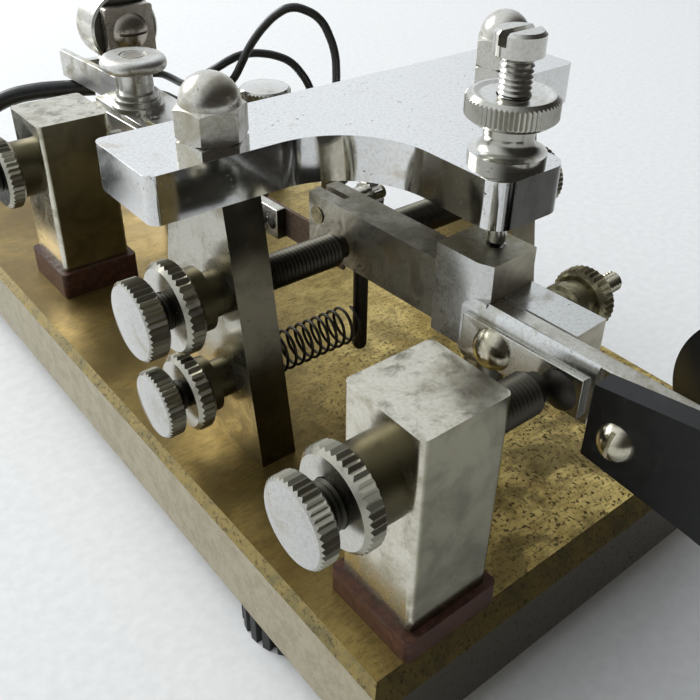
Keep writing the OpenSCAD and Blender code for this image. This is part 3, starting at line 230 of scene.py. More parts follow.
# Parts of a metal's surface: all faces but the ends, a dark core round an axis, dirt and painted shade with
# a least cover on upward faces above a height, and painted shade and reflection on the faces to the front
# within a reach of an upright line
Sides = namedtuple("Sides", "axis colour rough")
Core = namedtuple("Core", "axis through reach colour")
Top = namedtuple("Top", "height colour rough least")
Front = namedtuple("Front", "colour rough middle reach", defaults=(MIDDLE, WHOLE))

# Wear of metals and their painted shade on front faces: shares of colour that stay, roughness that stains
# add, and the cover and depth of pits
MOTTLE_DIM = 0.55
SIDE_DIM = 0.5
FRONT_BLOTCH_DIM = 0.66
STAIN_ROUGH_GAIN = 1.7
STAIN_ROUGH_MORE = 0.06
CORE_ROUGH = 0.42
CORE_INSIDE = 0.1
CORE_OUTSIDE = 0.2
DIRT_AND_SHADE_FROM = 0.62
DIRT_AND_SHADE_SPREAD = 0.6
DIRT_AND_SHADE_FULL = 0.72
FRONT_FADE = 1
PIT_COLOUR = (0.035, 0.03, 0.022)
PIT_COVER = 0.75
PIT_ROUGH = 0.35
PIT_DEPTH = 0.8
MARK_DEPTH = 0.2
METAL_BUMP = 0.12
METAL_BUMP_MM = 0.05


def metal(name, light, stain, rough, cloud=(0.5, 0.78), cloud_scale=0.16, pits=(1.6, 0.12), rub=0.3,
          sides=None, core=None, top=None, front=None):
    """Plated or bare metal with tarnish clouds, specks and rubbing marks.

    cloud is the range of noise over which light turns to stain, and pits is (cells per millimetre, share).
    """
    n = Nodes(name)
    stained = n.ramp(n.noise(cloud_scale, detail=5, rough=0.62, distort=0.6), *cloud)
    marks = n.noise(1.0, rough=0.6, stretch=(0.12, 2.0, 2.0), turn=14)
    mottle = n.ramp(n.noise(2.2, rough=0.65), 0.4, 0.75, end=0.3)
    colour = n.mix(mottle, n.mix(stained, light, stain), dimmed(stain, MOTTLE_DIM))
    roughness = n.between(stained, rough, min(1.0, STAIN_ROUGH_GAIN * rough + STAIN_ROUGH_MORE))
    roughness = n.math("ADD", roughness, n.ramp(marks, 0.35, 0.7, end=rub * rough))
    if sides:
        end = n.facing(sides.axis)
        grimy = n.mix(stained, sides.colour, dimmed(sides.colour, SIDE_DIM))
        colour = n.mix(end, grimy, colour)
        roughness = n.between(end, sides.rough, roughness)
    # dark dirt on upward faces above a height; on the pivot block this is painted shade under the bridge
    # arm
    if top:
        up = n.times(n.towards(UPWARD, 0.8, 0.95), n.above(top.height))
        field = n.noise(0.4, detail=5, rough=0.65, distort=0.4)
        dirt_and_shade = n.ramp(field, DIRT_AND_SHADE_FROM - DIRT_AND_SHADE_SPREAD * top.least, DIRT_AND_SHADE_FULL, start=top.least)
        colour = n.mix(n.times(up, dirt_and_shade), colour, top.colour)
        roughness = n.between(up, roughness, top.rough)
    if core:
        distance = n.radius(core.axis, core.through)
        inside = n.ramp(distance, core.reach - CORE_INSIDE, core.reach + CORE_OUTSIDE, start=1.0, end=0.0)
        inside = n.times(inside, n.math("SUBTRACT", 1.0, n.facing(core.axis, 0.8, 0.95)))
        colour = n.mix(inside, colour, core.colour)
        roughness = n.between(inside, roughness, CORE_ROUGH)
    # painted shade and reflection on faces to the front, darker in blotches
    if front:
        distance = n.radius("Z", front.middle)
        near = n.ramp(distance, front.reach - FRONT_FADE, front.reach, start=1.0, end=0.0)
        ahead = n.times(n.towards(FRONTWARD, 0.75, 0.95), near)
        front_blotch = n.ramp(n.noise(0.16, detail=5, rough=0.65, distort=0.5), 0.38, 0.66)
        front_shade = n.mix(front_blotch, front.colour, dimmed(front.colour, FRONT_BLOTCH_DIM))
        colour = n.mix(ahead, colour, front_shade)
        roughness = n.between(ahead, roughness, front.rough)
    spots = n.times(n.specks(*pits), n.ramp(n.noise(0.11, detail=3), 0.45, 0.62))
    colour = n.mix(n.times(spots, PIT_COVER), colour, PIT_COLOUR)
    n.link(colour, n.shader.inputs["Base Color"])
    n.shader.inputs["Metallic"].default_value = 1.0
    n.link(n.math("ADD", roughness, n.times(spots, PIT_ROUGH)), n.shader.inputs["Roughness"])
    height = n.math("SUBTRACT", n.times(marks, MARK_DEPTH), n.times(spots, PIT_DEPTH))
    n.bump(height, METAL_BUMP, METAL_BUMP_MM)
    return n.material


# Slanting band over which the brown lacquer gives way to bare gold, in millimetres
BARE_SLANT = -0.45
BARE_FROM_TO = (-16, 20)
# Middle of the crowded specks on the base, in the key's frame, and where they thin out
SPECKLED_AT = (12, 20, 0)
SPECKLED_FROM_TO = (12, 60)
# Colours of the brass slab, with painted shade on its front side
LACQUER_DEEP = (0.17, 0.11, 0.028)
LACQUER_PALE = (0.29, 0.20, 0.058)
LACQUER_STAIN = (0.14, 0.105, 0.032)
GOLD = (0.66, 0.505, 0.18)
GOLD_DULL = (0.42, 0.305, 0.095)
SPECK_COLOUR = (0.03, 0.023, 0.013)
PATCH_COLOUR = (0.10, 0.075, 0.026)
STREAK_COLOUR = (0.125, 0.09, 0.028)
SCRATCH_COLOUR = (0.10, 0.07, 0.025)
RIM_GOLD = (0.24, 0.18, 0.065)
RIM_OLIVE = (0.15, 0.125, 0.055)
SIDE_PALE = (0.45, 0.405, 0.285)
SIDE_OLIVE = (0.36, 0.31, 0.205)
SIDE_SPOT = (0.14, 0.11, 0.065)
FRONT_SIDE_SHADE = (0.052, 0.042, 0.022)
# Cover of its marks, and its surface where lacquered, bare and on the edges
SPECK_COVER = 0.92
PATCH_COVER = 0.75
STREAK_COVER = 0.55
SCRATCH_COVER = 0.3
RIM_SPECK_COVER = 0.6
SPECK_ROUGH = 0.25
EDGE_ROUGH = 0.42
METALLIC_LACQUER = 0.7
METALLIC_BARE = 0.85
BRASS_BUMP = 0.3
BRASS_BUMP_MM = 0.05


def brass_edge(n, fine):
    """Colour of the slab's slanting rims and of its sides, of which the front one is painted dark as shade.
    """
    rim = n.mix(n.ramp(n.noise(0.35, detail=5, rough=0.7), 0.4, 0.65), RIM_GOLD, RIM_OLIVE)
    rim = n.mix(n.times(fine, RIM_SPECK_COVER), rim, SPECK_COLOUR)
    side = n.mix(n.ramp(n.noise(0.4, detail=5, rough=0.7), 0.4, 0.64), SIDE_PALE, SIDE_OLIVE)
    side = n.mix(n.ramp(n.noise(1.9, rough=0.7), 0.56, 0.68, end=0.4), side, SIDE_SPOT)
    # painted shade on the front side
    side = n.mix(n.towards(FRONTWARD, 0.5, 0.9), side, FRONT_SIDE_SHADE)
    return n.mix(n.towards(UPWARD, 0.3, 0.5), side, rim)


def worn_brass(name):
    """Brass slab: brown lacquer on the left, bare gold with dark specks on the right, olive sides and a
    front side in painted shade.
    """
    n = Nodes(name)
    large = n.noise(0.05, distort=0.8)
    middle = n.noise(0.2, detail=5, rough=0.62, distort=0.4)
    across = n.vector("DOT_PRODUCT", n.place, (1 / MM, BARE_SLANT / MM, 0))
    bare = n.ramp(across, *BARE_FROM_TO)
    lacquer = n.mix(n.ramp(large, 0.36, 0.64), LACQUER_DEEP, LACQUER_PALE)
    lacquer = n.mix(n.ramp(middle, 0.45, 0.72, end=0.5), lacquer, LACQUER_STAIN)
    gold = n.mix(n.ramp(middle, 0.4, 0.66), GOLD, GOLD_DULL)
    colour = n.mix(bare, lacquer, gold)
    crowded = n.ramp(n.radius("Z", SPECKLED_AT), *SPECKLED_FROM_TO, start=1.0, end=0.3)
    fine = n.specks(2.1, 0.36, stretch=(1.0, 0.7, 1.0), turn=-25)
    coarse = n.specks(0.9, 0.22)
    specks = n.times(n.math("MAXIMUM", fine, coarse), crowded)
    specks = n.times(specks, n.ramp(bare, 0.0, 0.6, start=0.25))
    colour = n.mix(n.times(specks, SPECK_COVER), colour, SPECK_COLOUR)
    patches = n.ramp(n.noise(0.13, detail=6, rough=0.68, distort=0.5), 0.43, 0.6)
    colour = n.mix(n.times(n.times(patches, crowded), PATCH_COVER), colour, PATCH_COLOUR)
    streaks = n.ramp(n.noise(1.6, detail=5, rough=0.7, stretch=(0.35, 1.6, 1.0), turn=40), 0.46, 0.66)
    colour = n.mix(n.times(streaks, STREAK_COVER), colour, STREAK_COLOUR)
    rising = n.noise(0.9, detail=2, rough=0.5, stretch=(0.04, 4.5, 4.5), turn=35)
    falling = n.noise(0.9, detail=2, rough=0.5, stretch=(0.05, 4.0, 4.0), turn=-58)
    scratch = n.math("MAXIMUM", n.ramp(rising, 0.67, 0.72), n.ramp(falling, 0.69, 0.73))
    scratch = n.times(scratch, SCRATCH_COVER)
    colour = n.mix(scratch, colour, SCRATCH_COLOUR)
    flat = n.towards(UPWARD, 0.8, 0.95)
    n.link(n.mix(flat, brass_edge(n, fine), colour), n.shader.inputs["Base Color"])
    n.link(n.between(bare, METALLIC_LACQUER, METALLIC_BARE), n.shader.inputs["Metallic"])
    lacquer_rough = n.ramp(middle, 0.3, 0.7, start=0.34, end=0.44)
    bare_rough = n.ramp(middle, 0.3, 0.7, start=0.36, end=0.46)
    rough = n.between(flat, EDGE_ROUGH, n.between(bare, lacquer_rough, bare_rough))
    n.link(n.math("ADD", rough, n.times(specks, SPECK_ROUGH)), n.shader.inputs["Roughness"])
    height = n.math("SUBTRACT", 1.0, n.math("MAXIMUM", specks, scratch))
    n.bump(height, BRASS_BUMP, BRASS_BUMP_MM)
    return n.material


DUST = (0.22, 0.21, 0.19)
MATT_BUMP = 0.35
ROUGH_LEAST = 0.85
ROUGH_MOST = 1.15


def matt(name, light, dark, rough, grain, bump_mm, dust, gloss=0.5):
    """Fibre, rubber or hard rubber with a grain and some dust."""
    n = Nodes(name)
    field = n.noise(grain, detail=6, rough=0.65)
    colour = n.mix(n.ramp(field, 0.35, 0.7), dark, light)
    dusty = n.ramp(n.noise(0.7, detail=6, rough=0.7), 0.5, 0.75, end=dust)
    n.link(n.mix(dusty, colour, DUST), n.shader.inputs["Base Color"])
    roughness = n.ramp(field, 0.3, 0.7, start=rough * ROUGH_LEAST, end=rough * ROUGH_MOST)
    n.link(roughness, n.shader.inputs["Roughness"])
    n.shader.inputs["Specular IOR Level"].default_value = gloss
    n.bump(field, MATT_BUMP, bump_mm)
    return n.material


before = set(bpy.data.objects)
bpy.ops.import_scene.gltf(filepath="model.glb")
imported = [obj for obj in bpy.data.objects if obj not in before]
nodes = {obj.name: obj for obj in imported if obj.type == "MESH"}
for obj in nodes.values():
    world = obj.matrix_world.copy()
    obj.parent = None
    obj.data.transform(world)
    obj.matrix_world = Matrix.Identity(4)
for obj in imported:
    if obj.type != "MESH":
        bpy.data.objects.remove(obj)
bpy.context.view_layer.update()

# Colours that several turned pieces share
NICKEL = (0.60, 0.60, 0.585)
NUT_NICKEL = (0.60, 0.59, 0.545)
TOP_NICKEL = (0.64, 0.635, 0.60)
WARM_STAIN = (0.44, 0.40, 0.31)
KNURL = (0.34, 0.325, 0.26)
THREAD = (0.06, 0.056, 0.044)
# dark old brass of the lock nuts' collars, and painted shade on their necks beside the pillars
COLLAR_BRASS_AND_NECK_SHADE = (0.10, 0.087, 0.05)


def turned(name, through, reach, rough):
    """Thumb screw: bright faces, grimy knurling and a dark threaded core."""
    return metal(name, NICKEL, WARM_STAIN, rough, pits=(1.6, 0.06), sides=Sides("X", KNURL, rough=0.3),
                 core=Core("X", through, reach, THREAD))


def lock_nut(name, through, reach):
    """Knurled nut with bright faces, a collar of dark old brass, and painted shade on its neck beside the
    pillar.
    """
    return metal(name, NUT_NICKEL, WARM_STAIN, rough=0.16, sides=Sides("X", KNURL, rough=0.28),
                 core=Core("X", through, reach, COLLAR_BRASS_AND_NECK_SHADE))


FINISH = {
    worn_brass("worn_brass_plate"): ["base_plate"],
    # painted shade on the front faces of the bridge's arm end round the pivot
    metal("mirror_nickel", light=(0.72, 0.72, 0.71), stain=(0.54, 0.49, 0.40), rough=0.07,
          cloud=(0.56, 0.85), pits=(1.3, 0.2),
          front=Front((0.09, 0.088, 0.08), rough=0.14, middle=PIVOT_AXIS, reach=10)):
        ["bridge_plate", "jack_plug"],
    metal("damper_nickel", light=TOP_NICKEL, stain=(0.42, 0.39, 0.31), rough=0.28, cloud=(0.45, 0.75)):
        ["damper_bracket", "damper_knob"],
    metal("boss_nickel", light=(0.40, 0.36, 0.31), stain=(0.26, 0.23, 0.18), rough=0.25):
        ["damper_boss", "damper_pins"],
    metal("nut_nickel", light=(0.60, 0.58, 0.525), stain=(0.36, 0.33, 0.25), rough=0.18, cloud=(0.44, 0.7)):
        ["acorn_nuts", "clamp_nut"],
    # painted shade and reflection on the pillars' front faces
    metal("pillar_nickel", light=(0.47, 0.455, 0.40), stain=(0.30, 0.275, 0.20), rough=0.17,
          cloud=(0.42, 0.7), front=Front((0.145, 0.128, 0.09), rough=0.16)):
        ["left_pillar", "right_pillar"],
    # painted shade on the posts' front faces
    metal("post_nickel", light=(0.70, 0.67, 0.575), stain=(0.42, 0.39, 0.29), rough=0.15,
          cloud=(0.42, 0.68), top=Top(height=25, colour=(0.20, 0.185, 0.14), rough=0.2, least=0.25),
          front=Front((0.40, 0.38, 0.28), rough=0.2)):
        ["dash_post", "dot_post"],
    metal("dull_nickel", light=(0.46, 0.445, 0.39), stain=(0.23, 0.21, 0.15), rough=0.3,
          cloud=(0.36, 0.66), cloud_scale=0.22, pits=(2.0, 0.3),
          top=Top(height=0, colour=(0.105, 0.097, 0.066), rough=0.42, least=0.5)):
        ["lever_bar"],
    # painted shade on the pivot block's top under the bridge arm, and a painted duller reflection on its
    # front faces
    metal("block_nickel", light=(0.60, 0.605, 0.59), stain=(0.40, 0.385, 0.31), rough=0.2,
          cloud=(0.48, 0.74), pits=(1.8, 0.2),
          top=Top(height=31, colour=(0.27, 0.25, 0.16), rough=0.42, least=0.5),
          front=Front((0.60, 0.56, 0.45), rough=0.45)):
        ["pivot_block"],
    # painted shade on the front faces of these pieces
    metal("arm_nickel", light=(0.55, 0.54, 0.49), stain=(0.34, 0.31, 0.23), rough=0.2, cloud=(0.45, 0.72),
          front=Front((0.13, 0.124, 0.105), rough=0.35)):
        ["finger_arm", "contact_strip", "pendulum_strip", "speed_weight", "weight_screw", "damper_post",
         "lower_pivot", "damper_disc"],
    turned("stop_screw_nickel", STOP_AXIS, reach=2.7, rough=0.05): ["left_stop_screw", "right_stop_screw"],
    turned("tension_screw_nickel", TENSION_AXIS, reach=2.3, rough=0.1): ["tension_screw"],
    turned("dash_screw_nickel", DASH_AXIS, reach=3.0, rough=0.22): ["dash_screw"],
    turned("dot_screw_nickel", DOT_AXIS, reach=3.0, rough=0.2): ["dot_screw"],
    metal("pivot_screw_nickel", light=(0.58, 0.57, 0.53), stain=(0.36, 0.33, 0.26), rough=0.16, rub=0.2):
        ["top_pivot_screw"],
    lock_nut("stop_nut_nickel", STOP_AXIS, reach=4.75): ["left_stop_nut", "right_stop_nut"],
    lock_nut("tension_nut_nickel", TENSION_AXIS, reach=4.35): ["tension_nut"],
    lock_nut("dash_nut_nickel", DASH_AXIS, reach=5.05): ["dash_nut"],
    lock_nut("dot_nut_nickel", DOT_AXIS, reach=5.05): ["dot_nut"],
    metal("top_nut_nickel", light=TOP_NICKEL, stain=WARM_STAIN, rough=0.15,
          sides=Sides("Z", (0.42, 0.41, 0.36), rough=0.2)):
        ["pivot_lock_nut", "rear_terminal_nut", "front_terminal_nut"],
    metal("dark_pins", light=(0.22, 0.20, 0.17), stain=(0.09, 0.08, 0.06), rough=0.3): ["terminal_posts"],
    metal("old_brass", light=(0.36, 0.325, 0.20), stain=(0.15, 0.135, 0.08), rough=0.28,
          cloud=(0.38, 0.66), cloud_scale=0.4):
        ["arm_nut", "clamp_screw", "dot_contact"],
    metal("screw_brass", light=(0.56, 0.525, 0.41), stain=(0.30, 0.27, 0.18), rough=0.17):
        ["arm_screw", "paddle_screw"],
    metal("blackened_steel", light=(0.05, 0.046, 0.04), stain=(0.022, 0.02, 0.018), rough=0.38):
        ["spring_pin", "bridge_studs", "base_screws", "foot_screws", "contact_dome", "pendulum_rivets"],
    metal("rusty_steel", light=(0.17, 0.12, 0.09), stain=(0.05, 0.035, 0.028), rough=0.5): ["flat_spring"],
    matt("red_fibre", light=(0.105, 0.042, 0.023), dark=(0.046, 0.019, 0.012), rough=0.55, grain=0.9,
         bump_mm=0.03, dust=0.1, gloss=0.3):
        ["dash_pad", "dot_pad", "post_bushes"],
    matt("black_rubber", light=(0.035, 0.034, 0.034), dark=(0.016, 0.016, 0.017), rough=0.6, grain=1.2,
         bump_mm=0.03, dust=0.1):
        ["rubber_feet"],
    matt("black_plastic", light=(0.008, 0.0078, 0.0072), dark=(0.004, 0.004, 0.0037), rough=0.4, grain=0.8,
         bump_mm=0.006, dust=0.03, gloss=0.3):
        ["thumb_paddle", "finger_knob"],
}
for material, names in FINISH.items():
    for name in names:
        node = nodes[name]
        node.data.materials.clear()
        node.data.materials.append(material)


# Edge rounding in millimetres, so that edges catch the light
EDGES = {
    "bridge_plate": 0.4, "dash_post": 0.3, "dot_post": 0.3, "left_pillar": 0.55, "right_pillar": 0.55,
    "pivot_block": 0.2, "lever_bar": 0.3, "finger_arm": 0.25, "contact_strip": 0.15, "dash_pad": 0.3,
    "dot_pad": 0.3, "thumb_paddle": 0.3, "damper_bracket": 0.2, "damper_boss": 0.2, "damper_post": 0.3,
    "pendulum_strip": 0.2, "acorn_nuts": 0.15,
}
# Least angle of an edge that is rounded, in degrees, faces across it, and the reach of the weld before
EDGE_ANGLE = 35
EDGE_SEGMENTS = 3
WELD_MM = 0.002


def soften(name, width_mm):
    """Rounds the sharp edges of a piece and keeps its flat faces flat."""
    node = nodes[name]
    weld = node.modifiers.new("weld", "WELD")
    weld.merge_threshold = WELD_MM * MM
    bevel = node.modifiers.new("edge", "BEVEL")
    bevel.width = width_mm * MM
    bevel.segments = EDGE_SEGMENTS
    bevel.limit_method = "ANGLE"
    bevel.angle_limit = math.radians(EDGE_ANGLE)
    node.modifiers.new("flat_faces", "WEIGHTED_NORMAL")
    for polygon in node.data.polygons:
        polygon.use_smooth = True


for name, width in EDGES.items():
    soften(name, width)


def add_piece(name, data):
    """New object in the scene."""
    piece = bpy.data.objects.new(name, data)
    bpy.context.collection.objects.link(piece)
    return piece


# Window, table and room, in metres
WINDOW_AT = Vector((-0.33, 0.98, 0.64))
WINDOW_AIM = Vector((0, 0.06, 0.03))
WINDOW_WIDTH = 0.7
WINDOW_HEIGHT = 0.55
WINDOW_POWER = 10.5
WINDOW_COLOUR = (0.97, 0.99, 1.0)
FLOOR_HALF = 3.0
FLOOR_DULL = (0.84, 0.84, 0.83)
FLOOR_WHITE = (0.90, 0.90, 0.89)
FLOOR_ROUGH = 0.8
FLOOR_BUMP = 0.3
FLOOR_BUMP_MM = 0.2
# Direction in which the room is pale, the step along it, and the two colours
PALE_SIDE = (-0.3, 0.8, 0.25)
PALE_FROM = -0.3
PALE_FULL = 0.55
ROOM_DIM = (0.06, 0.055, 0.05, 1.0)
ROOM_PALE = (1.04, 1.09, 1.14, 1.0)


def make_window():
    data = bpy.data.lights.new("window", "AREA")
    data.shape = "RECTANGLE"
    data.size = WINDOW_WIDTH
    data.size_y = WINDOW_HEIGHT
    data.energy = WINDOW_POWER
    data.color = WINDOW_COLOUR
    lamp = add_piece("window", data)
    lamp.location = WINDOW_AT
    lamp.rotation_euler = (WINDOW_AIM - WINDOW_AT).to_track_quat("-Z", "Y").to_euler()


def make_floor():
    n = Nodes("white_board")
    grain = n.noise(0.5, detail=5, rough=0.6)
    n.link(n.mix(n.ramp(grain, 0.3, 0.7), FLOOR_DULL, FLOOR_WHITE), n.shader.inputs["Base Color"])
    n.shader.inputs["Roughness"].default_value = FLOOR_ROUGH
    n.bump(grain, FLOOR_BUMP, FLOOR_BUMP_MM)
    corners = [(x * FLOOR_HALF, y * FLOOR_HALF, 0) for x, y in ((-1, -1), (1, -1), (1, 1), (-1, 1))]
    mesh = bpy.data.meshes.new("floor")
    mesh.from_pydata(corners, [], [(0, 1, 2, 3)])
    mesh.materials.append(n.material)
    floor = add_piece("floor", mesh)


def make_world():
    """Room that is pale behind, above and to the left of the key, and dim in front of it."""
    world = bpy.data.worlds.new("studio")
    world.use_nodes = True
    bpy.context.scene.world = world
    tree = world.node_tree
    coords = tree.nodes.new("ShaderNodeTexCoord")
    along = tree.nodes.new("ShaderNodeVectorMath")
    along.operation = "DOT_PRODUCT"
    along.inputs[1].default_value = PALE_SIDE
    tree.links.new(coords.outputs["Generated"], along.inputs[0])
    step = tree.nodes.new("ShaderNodeMapRange")
    step.interpolation_type = "SMOOTHSTEP"
    step.inputs["From Min"].default_value = PALE_FROM
    step.inputs["From Max"].default_value = PALE_FULL
    tree.links.new(along.outputs["Value"], step.inputs["Value"])
    blend = tree.nodes.new("ShaderNodeMix")
    blend.data_type = "RGBA"
    blend.inputs[MIX_COLOUR_A].default_value = ROOM_DIM
    blend.inputs[MIX_COLOUR_B].default_value = ROOM_PALE
    tree.links.new(step.outputs["Result"], blend.inputs[MIX_FACTOR])
    tree.links.new(blend.outputs[MIX_COLOUR_OUT], tree.nodes["Background"].inputs["Color"])


def make_camera():
    data = bpy.data.cameras.new("camera")
    data.sensor_width = SENSOR
    data.lens = FOCAL_PIXELS / PICTURE * SENSOR
    data.shift_x = 0.5 - CENTRE_X / PICTURE
    data.shift_y = CENTRE_Y / PICTURE - 0.5
    data.clip_start = CLIP_START
    yaw, pitch, roll = (math.radians(a) for a in (CAMERA_YAW, CAMERA_PITCH, CAMERA_ROLL))
    forward = Vector((math.sin(yaw) * math.cos(pitch), math.cos(yaw) * math.cos(pitch), math.sin(pitch)))
    level = Vector((math.cos(yaw), -math.sin(yaw), 0))
    above = level.cross(forward)
    right = math.cos(roll) * level + math.sin(roll) * above
    up = -math.sin(roll) * level + math.cos(roll) * above
    turn = Matrix((right, up, -forward)).transposed().to_4x4()
    camera = add_piece("camera", data)
    camera.matrix_world = Matrix.Translation(at_key(*CAMERA_AT)) @ turn
    bpy.context.scene.camera = camera


# Cable: two single wires from the terminals, a jacket round both, a tied coil and a plug
WIRE_D = 1.8
CORD_D = 4.0
FLOOR_Z = -KEY_TOP_Z
SPLIT = Vector((4.4, 159.6, 16.1))
REAR_WIRE = [
    (31.9, 122.4, 7.2), (32.8, 122.4, 7.2), (35.6, 121.6, 7.9), (37.6, 118.6, 10.4), (38, 116.2, 15.5),
    (37, 116.6, 22), (34.3, 120, 27.2), (29.4, 123.6, 29), (24.6, 125.6, 28.8), (19.8, 126.5, 27),
    (17.4, 130.5, 24), (17.6, 136, 21), (18.4, 142, 19.3), (18.8, 147, 18.9), (18, 152, 18.9),
    (14, 155, 18.6), (8, 158.4, 17.4), (4.4, 160.5, 16.2),
]
FRONT_WIRE = [
    (31.9, 98, 7.2), (32.8, 98, 7.2), (33.6, 99, 9), (34.9, 102, 15), (36.6, 106, 24),
    (37.8, 108, 31.1), (36.1, 111, 38.1), (31.4, 115, 40.4), (27.5, 119, 36.5), (24.4, 121.6, 31),
    (22.2, 124, 25), (21, 129.4, 20.4), (18.4, 135, 17), (16.8, 141, 15.6), (16.2, 146, 15.6),
    (13.4, 151, 15.6), (8.4, 155.6, 15.6), (4.4, 158.7, 15.9),
]
# Way down from the split to the table, then steps from the coil's start, from its end and from the plug
WAY_DOWN = [
    (-3.2, 163, 16.1), (-9, 166, 15.6), (-15.6, 168.6, 13.8), (-24, 170, 8.5), (-33, 169.6, 0),
    (-40.6, 167.4, -7.4), (-45, 164.6, -11), (-49.5, 163.4, -14.4),
]
INTO_COIL = [(6.6, 0, 0.1), (3, 0, 0)]
OUT_OF_COIL = [(0, 4, 0), (1.6, 10.5, 2.2), (6.3, 16.6, 5), (12.8, 19.8, 7.2)]
PLUG_AT = Vector((20.6, 20.4, 7.8))
INTO_PLUG = [(-2, 0, 0), (1, 0, 0)]
ROUTE_STEPS = 2
TUBE_SIDES = 4
TUBE_STEPS = 5
# Coil on the table, whose angles are in degrees
COIL_CENTRE = Vector((-60, 196))
COIL_OUT = 32.5
COIL_STEP = 4.8
COIL_TURNS = 6.25
COIL_LIFT = CORD_D + 0.6
COIL_FROM = -90
COIL_EVERY = 15
COIL_CLIMB = 90
# Strap round the coil, with its slack on each side and the angles over which the turns rise to it
TIE_T = 0.5
TIE_WIDTH = 5.0
TIE_LIP = 2.2
TIE_ANGLE = 205
TIE_SLACK_IN = 1.2
TIE_SLACK_OUT = 0.4
TIE_SLACK_TOP = 0.5
TIE_STEPS = 5
TIE_RISE_FROM = 50
TIE_RISE_OVER = 30


def curve_point(a, b, c, d, t):
    """Catmull-Rom point between b and c."""
    line = 2 * b + (c - a) * t
    return 0.5 * (line + (2 * a - 5 * b + 4 * c - d) * t * t + (3 * b - a - 3 * c + d) * t * t * t)


def smooth(route, steps):
    """Route with some steps of a smooth curve between its points."""
    points = [Vector(p) for p in route]
    last = len(points) - 1
    made = []
    for i in range(last):
        near = (points[max(i - 1, 0)], points[i], points[i + 1], points[min(i + 2, last)])
        made += [curve_point(*near, k / steps) for k in range(steps)]
    return made + [points[last]]


def steps_from(point, steps):
    return [point + Vector(step) for step in steps]


def line_piece(name, points_mm, diameter_mm, material):
    """Tube on one open line of points in the CAD source's frame."""
    data = bpy.data.curves.new(name, "CURVE")
    data.dimensions = "3D"
    data.bevel_depth = diameter_mm / 2 * MM
    data.bevel_resolution = TUBE_SIDES
    data.use_fill_caps = True
    data.resolution_u = TUBE_STEPS
    line = data.splines.new("BEZIER")
    line.bezier_points.add(len(points_mm) - 1)
    for point, place in zip(line.bezier_points, points_mm):
        point.co = at_key(*place)
        point.handle_left_type = "AUTO"
        point.handle_right_type = "AUTO"
    line.use_smooth = True
    data.materials.append(material)
    return add_piece(name, data)


def tie_lift(degrees):
    """Rise of the turns over the strap that passes under them."""
    away = abs((degrees - TIE_ANGLE + 180) % 360 - 180)
    return TIE_T * min(1.0, max(0.0, (TIE_RISE_FROM - away) / TIE_RISE_OVER))


def coil_line():
    """Turns that run inward on the table and outward on the layer above."""
    total = 360 * COIL_TURNS
    middle = total / 2
    points = []
    for a in range(0, int(total) + 1, COIL_EVERY):
        radius = COIL_OUT - COIL_STEP * min(a, total - a) / 360
        rise = min(max((a - middle) / COIL_CLIMB, -1), 1)
        layer = COIL_LIFT * (1 + math.sin(math.pi / 2 * rise)) / 2
        turn = math.radians(COIL_FROM - a)
        points.append(Vector((COIL_CENTRE.x + radius * math.cos(turn),
                              COIL_CENTRE.y + radius * math.sin(turn),
                              FLOOR_Z + CORD_D / 2 + layer + tie_lift(COIL_FROM - a))))
    return points


def cable_line():
    """Whole jacketed cable, from the split to the plug."""
    coil = coil_line()
    down = [SPLIT, *WAY_DOWN, *steps_from(coil[0], INTO_COIL)]
    away = steps_from(coil[-1], OUT_OF_COIL) + steps_from(coil[-1] + PLUG_AT, INTO_PLUG)
    return smooth(down, ROUTE_STEPS) + coil + smooth(away, ROUTE_STEPS)


def make_tie(material):
    """Strap round the turns of the coil."""
    inner = COIL_OUT - COIL_STEP * COIL_TURNS / 2 - CORD_D / 2 - TIE_SLACK_IN
    outer = COIL_OUT + CORD_D / 2 + TIE_SLACK_OUT
    bottom = TIE_T / 2
    top = CORD_D + COIL_LIFT + TIE_T + TIE_SLACK_TOP
    loop = [(inner, bottom), (outer - TIE_LIP, bottom), (outer, bottom + TIE_LIP), (outer, top - TIE_LIP),
            (outer - TIE_LIP, top), (inner + TIE_LIP, top), (inner, top - TIE_LIP), (inner, bottom)]
    fine = smooth([(x, z, 0) for x, z in loop], TIE_STEPS)
    turn = math.radians(TIE_ANGLE)
    out = Vector((math.cos(turn), math.sin(turn), 0))
    across = Vector((-math.sin(turn), math.cos(turn), 0))
    centre = Vector((COIL_CENTRE.x, COIL_CENTRE.y, FLOOR_Z))
    rows = [centre + out * p.x + Vector((0, 0, p.y)) for p in fine]
    vertices = [at_key(*(p + across * s)) for p in rows for s in (-TIE_WIDTH / 2, TIE_WIDTH / 2)]
    faces = [(2 * i, 2 * i + 1, 2 * i + 3, 2 * i + 2) for i in range(len(rows) - 1)]
    mesh = bpy.data.meshes.new("coil_tie")
    mesh.from_pydata(vertices, [], faces)
    mesh.materials.append(material)
    tie = add_piece("coil_tie", mesh)
    wall = tie.modifiers.new("wall", "SOLIDIFY")
    wall.thickness = TIE_T * MM
    wall.offset = 0
    return tie


def make_cable():
    jacket = matt("cable_jacket", light=(0.03, 0.03, 0.028), dark=(0.014, 0.014, 0.013), rough=0.38,
                  grain=1.5, bump_mm=0.012, dust=0.06)
    tie = make_tie(jacket)
    cable = cable_line()
    cord = line_piece("cable", cable, CORD_D, jacket)
    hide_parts("lead_cord", "cord_coil")
    lines = {"rear_wire": smooth(REAR_WIRE, ROUTE_STEPS), "front_wire": smooth(FRONT_WIRE, ROUTE_STEPS)}
    wires = {name: line_piece(name, line, WIRE_D, jacket) for name, line in lines.items()}
    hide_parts("lead_wires")
    for piece in [tie, cord, *wires.values()]:
        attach(piece, "frame")


# Return spring between the tension screw and the pin under the lever
SPRING_R = 2.9
SPRING_WIRE_R = 0.25
SPRING_TURNS = 11
SPRING_STEPS = 24
SPRING_HOOK = 0.6
SPRING_SIDES = 10
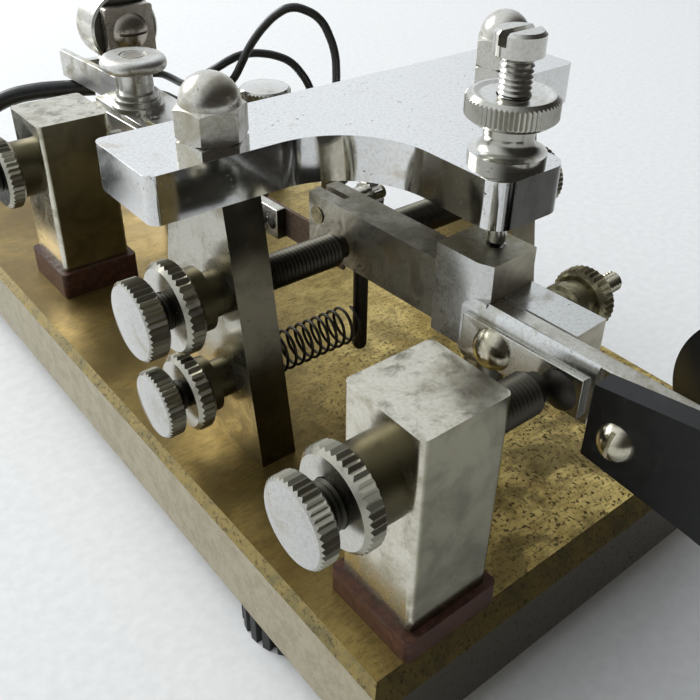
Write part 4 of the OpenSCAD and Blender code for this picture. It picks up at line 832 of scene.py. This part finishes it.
# Direction near the spring's axis, by which the wire's cross-sections are lined up
SPRING_ALONG = Vector((1, 0, 0.01))


def spring_line(low, high):
    """Turns of the spring in its box, with a short step inward at each end."""
    middle_y = (low.y + high.y) / 2
    middle_z = (low.z + high.z) / 2
    steps = SPRING_TURNS * SPRING_STEPS
    ring = SPRING_R * MM
    hook = SPRING_HOOK * MM
    line = [Vector((low.x, middle_y, middle_z + ring - hook))]
    for i in range(steps + 1):
        turn = 2 * math.pi * i / SPRING_STEPS
        line.append(Vector((low.x + hook + (high.x - low.x - 2 * hook) * i / steps,
                            middle_y + ring * math.sin(turn), middle_z + ring * math.cos(turn))))
    line.append(Vector((high.x, middle_y, middle_z + ring - hook)))
    return line


def wire_mesh(name, line):
    """Round wire along a line of points, closed at both ends."""
    vertices = []
    last = len(line) - 1
    for i, point in enumerate(line):
        along = (line[min(i + 1, last)] - line[max(i - 1, 0)]).normalized()
        side = along.cross(SPRING_ALONG).normalized()
        other = along.cross(side)
        for k in range(SPRING_SIDES):
            turn = 2 * math.pi * k / SPRING_SIDES
            vertices.append(point + SPRING_WIRE_R * MM * (math.cos(turn) * side + math.sin(turn) * other))
    faces = [tuple(reversed(range(SPRING_SIDES))), tuple(range(last * SPRING_SIDES, len(vertices)))]
    for i in range(last):
        for k in range(SPRING_SIDES):
            a = i * SPRING_SIDES + k
            b = i * SPRING_SIDES + (k + 1) % SPRING_SIDES
            faces.append((a, b, b + SPRING_SIDES, a + SPRING_SIDES))
    mesh = bpy.data.meshes.new(name)
    mesh.from_pydata(vertices, [], faces)
    mesh.shade_smooth()
    return mesh


def make_spring():
    low, high = (Vector(v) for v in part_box("return_spring"))
    mesh = wire_mesh("spring_wire", spring_line(low, high))
    mesh.materials.append(nodes["spring_pin"].data.materials[0])
    piece = add_piece("spring_wire", mesh)
    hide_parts("return_spring")
    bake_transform(piece)


make_cable()
make_spring()
make_floor()
make_world()
make_camera()
make_window()
bpy.context.scene.view_settings.view_transform = "Standard"
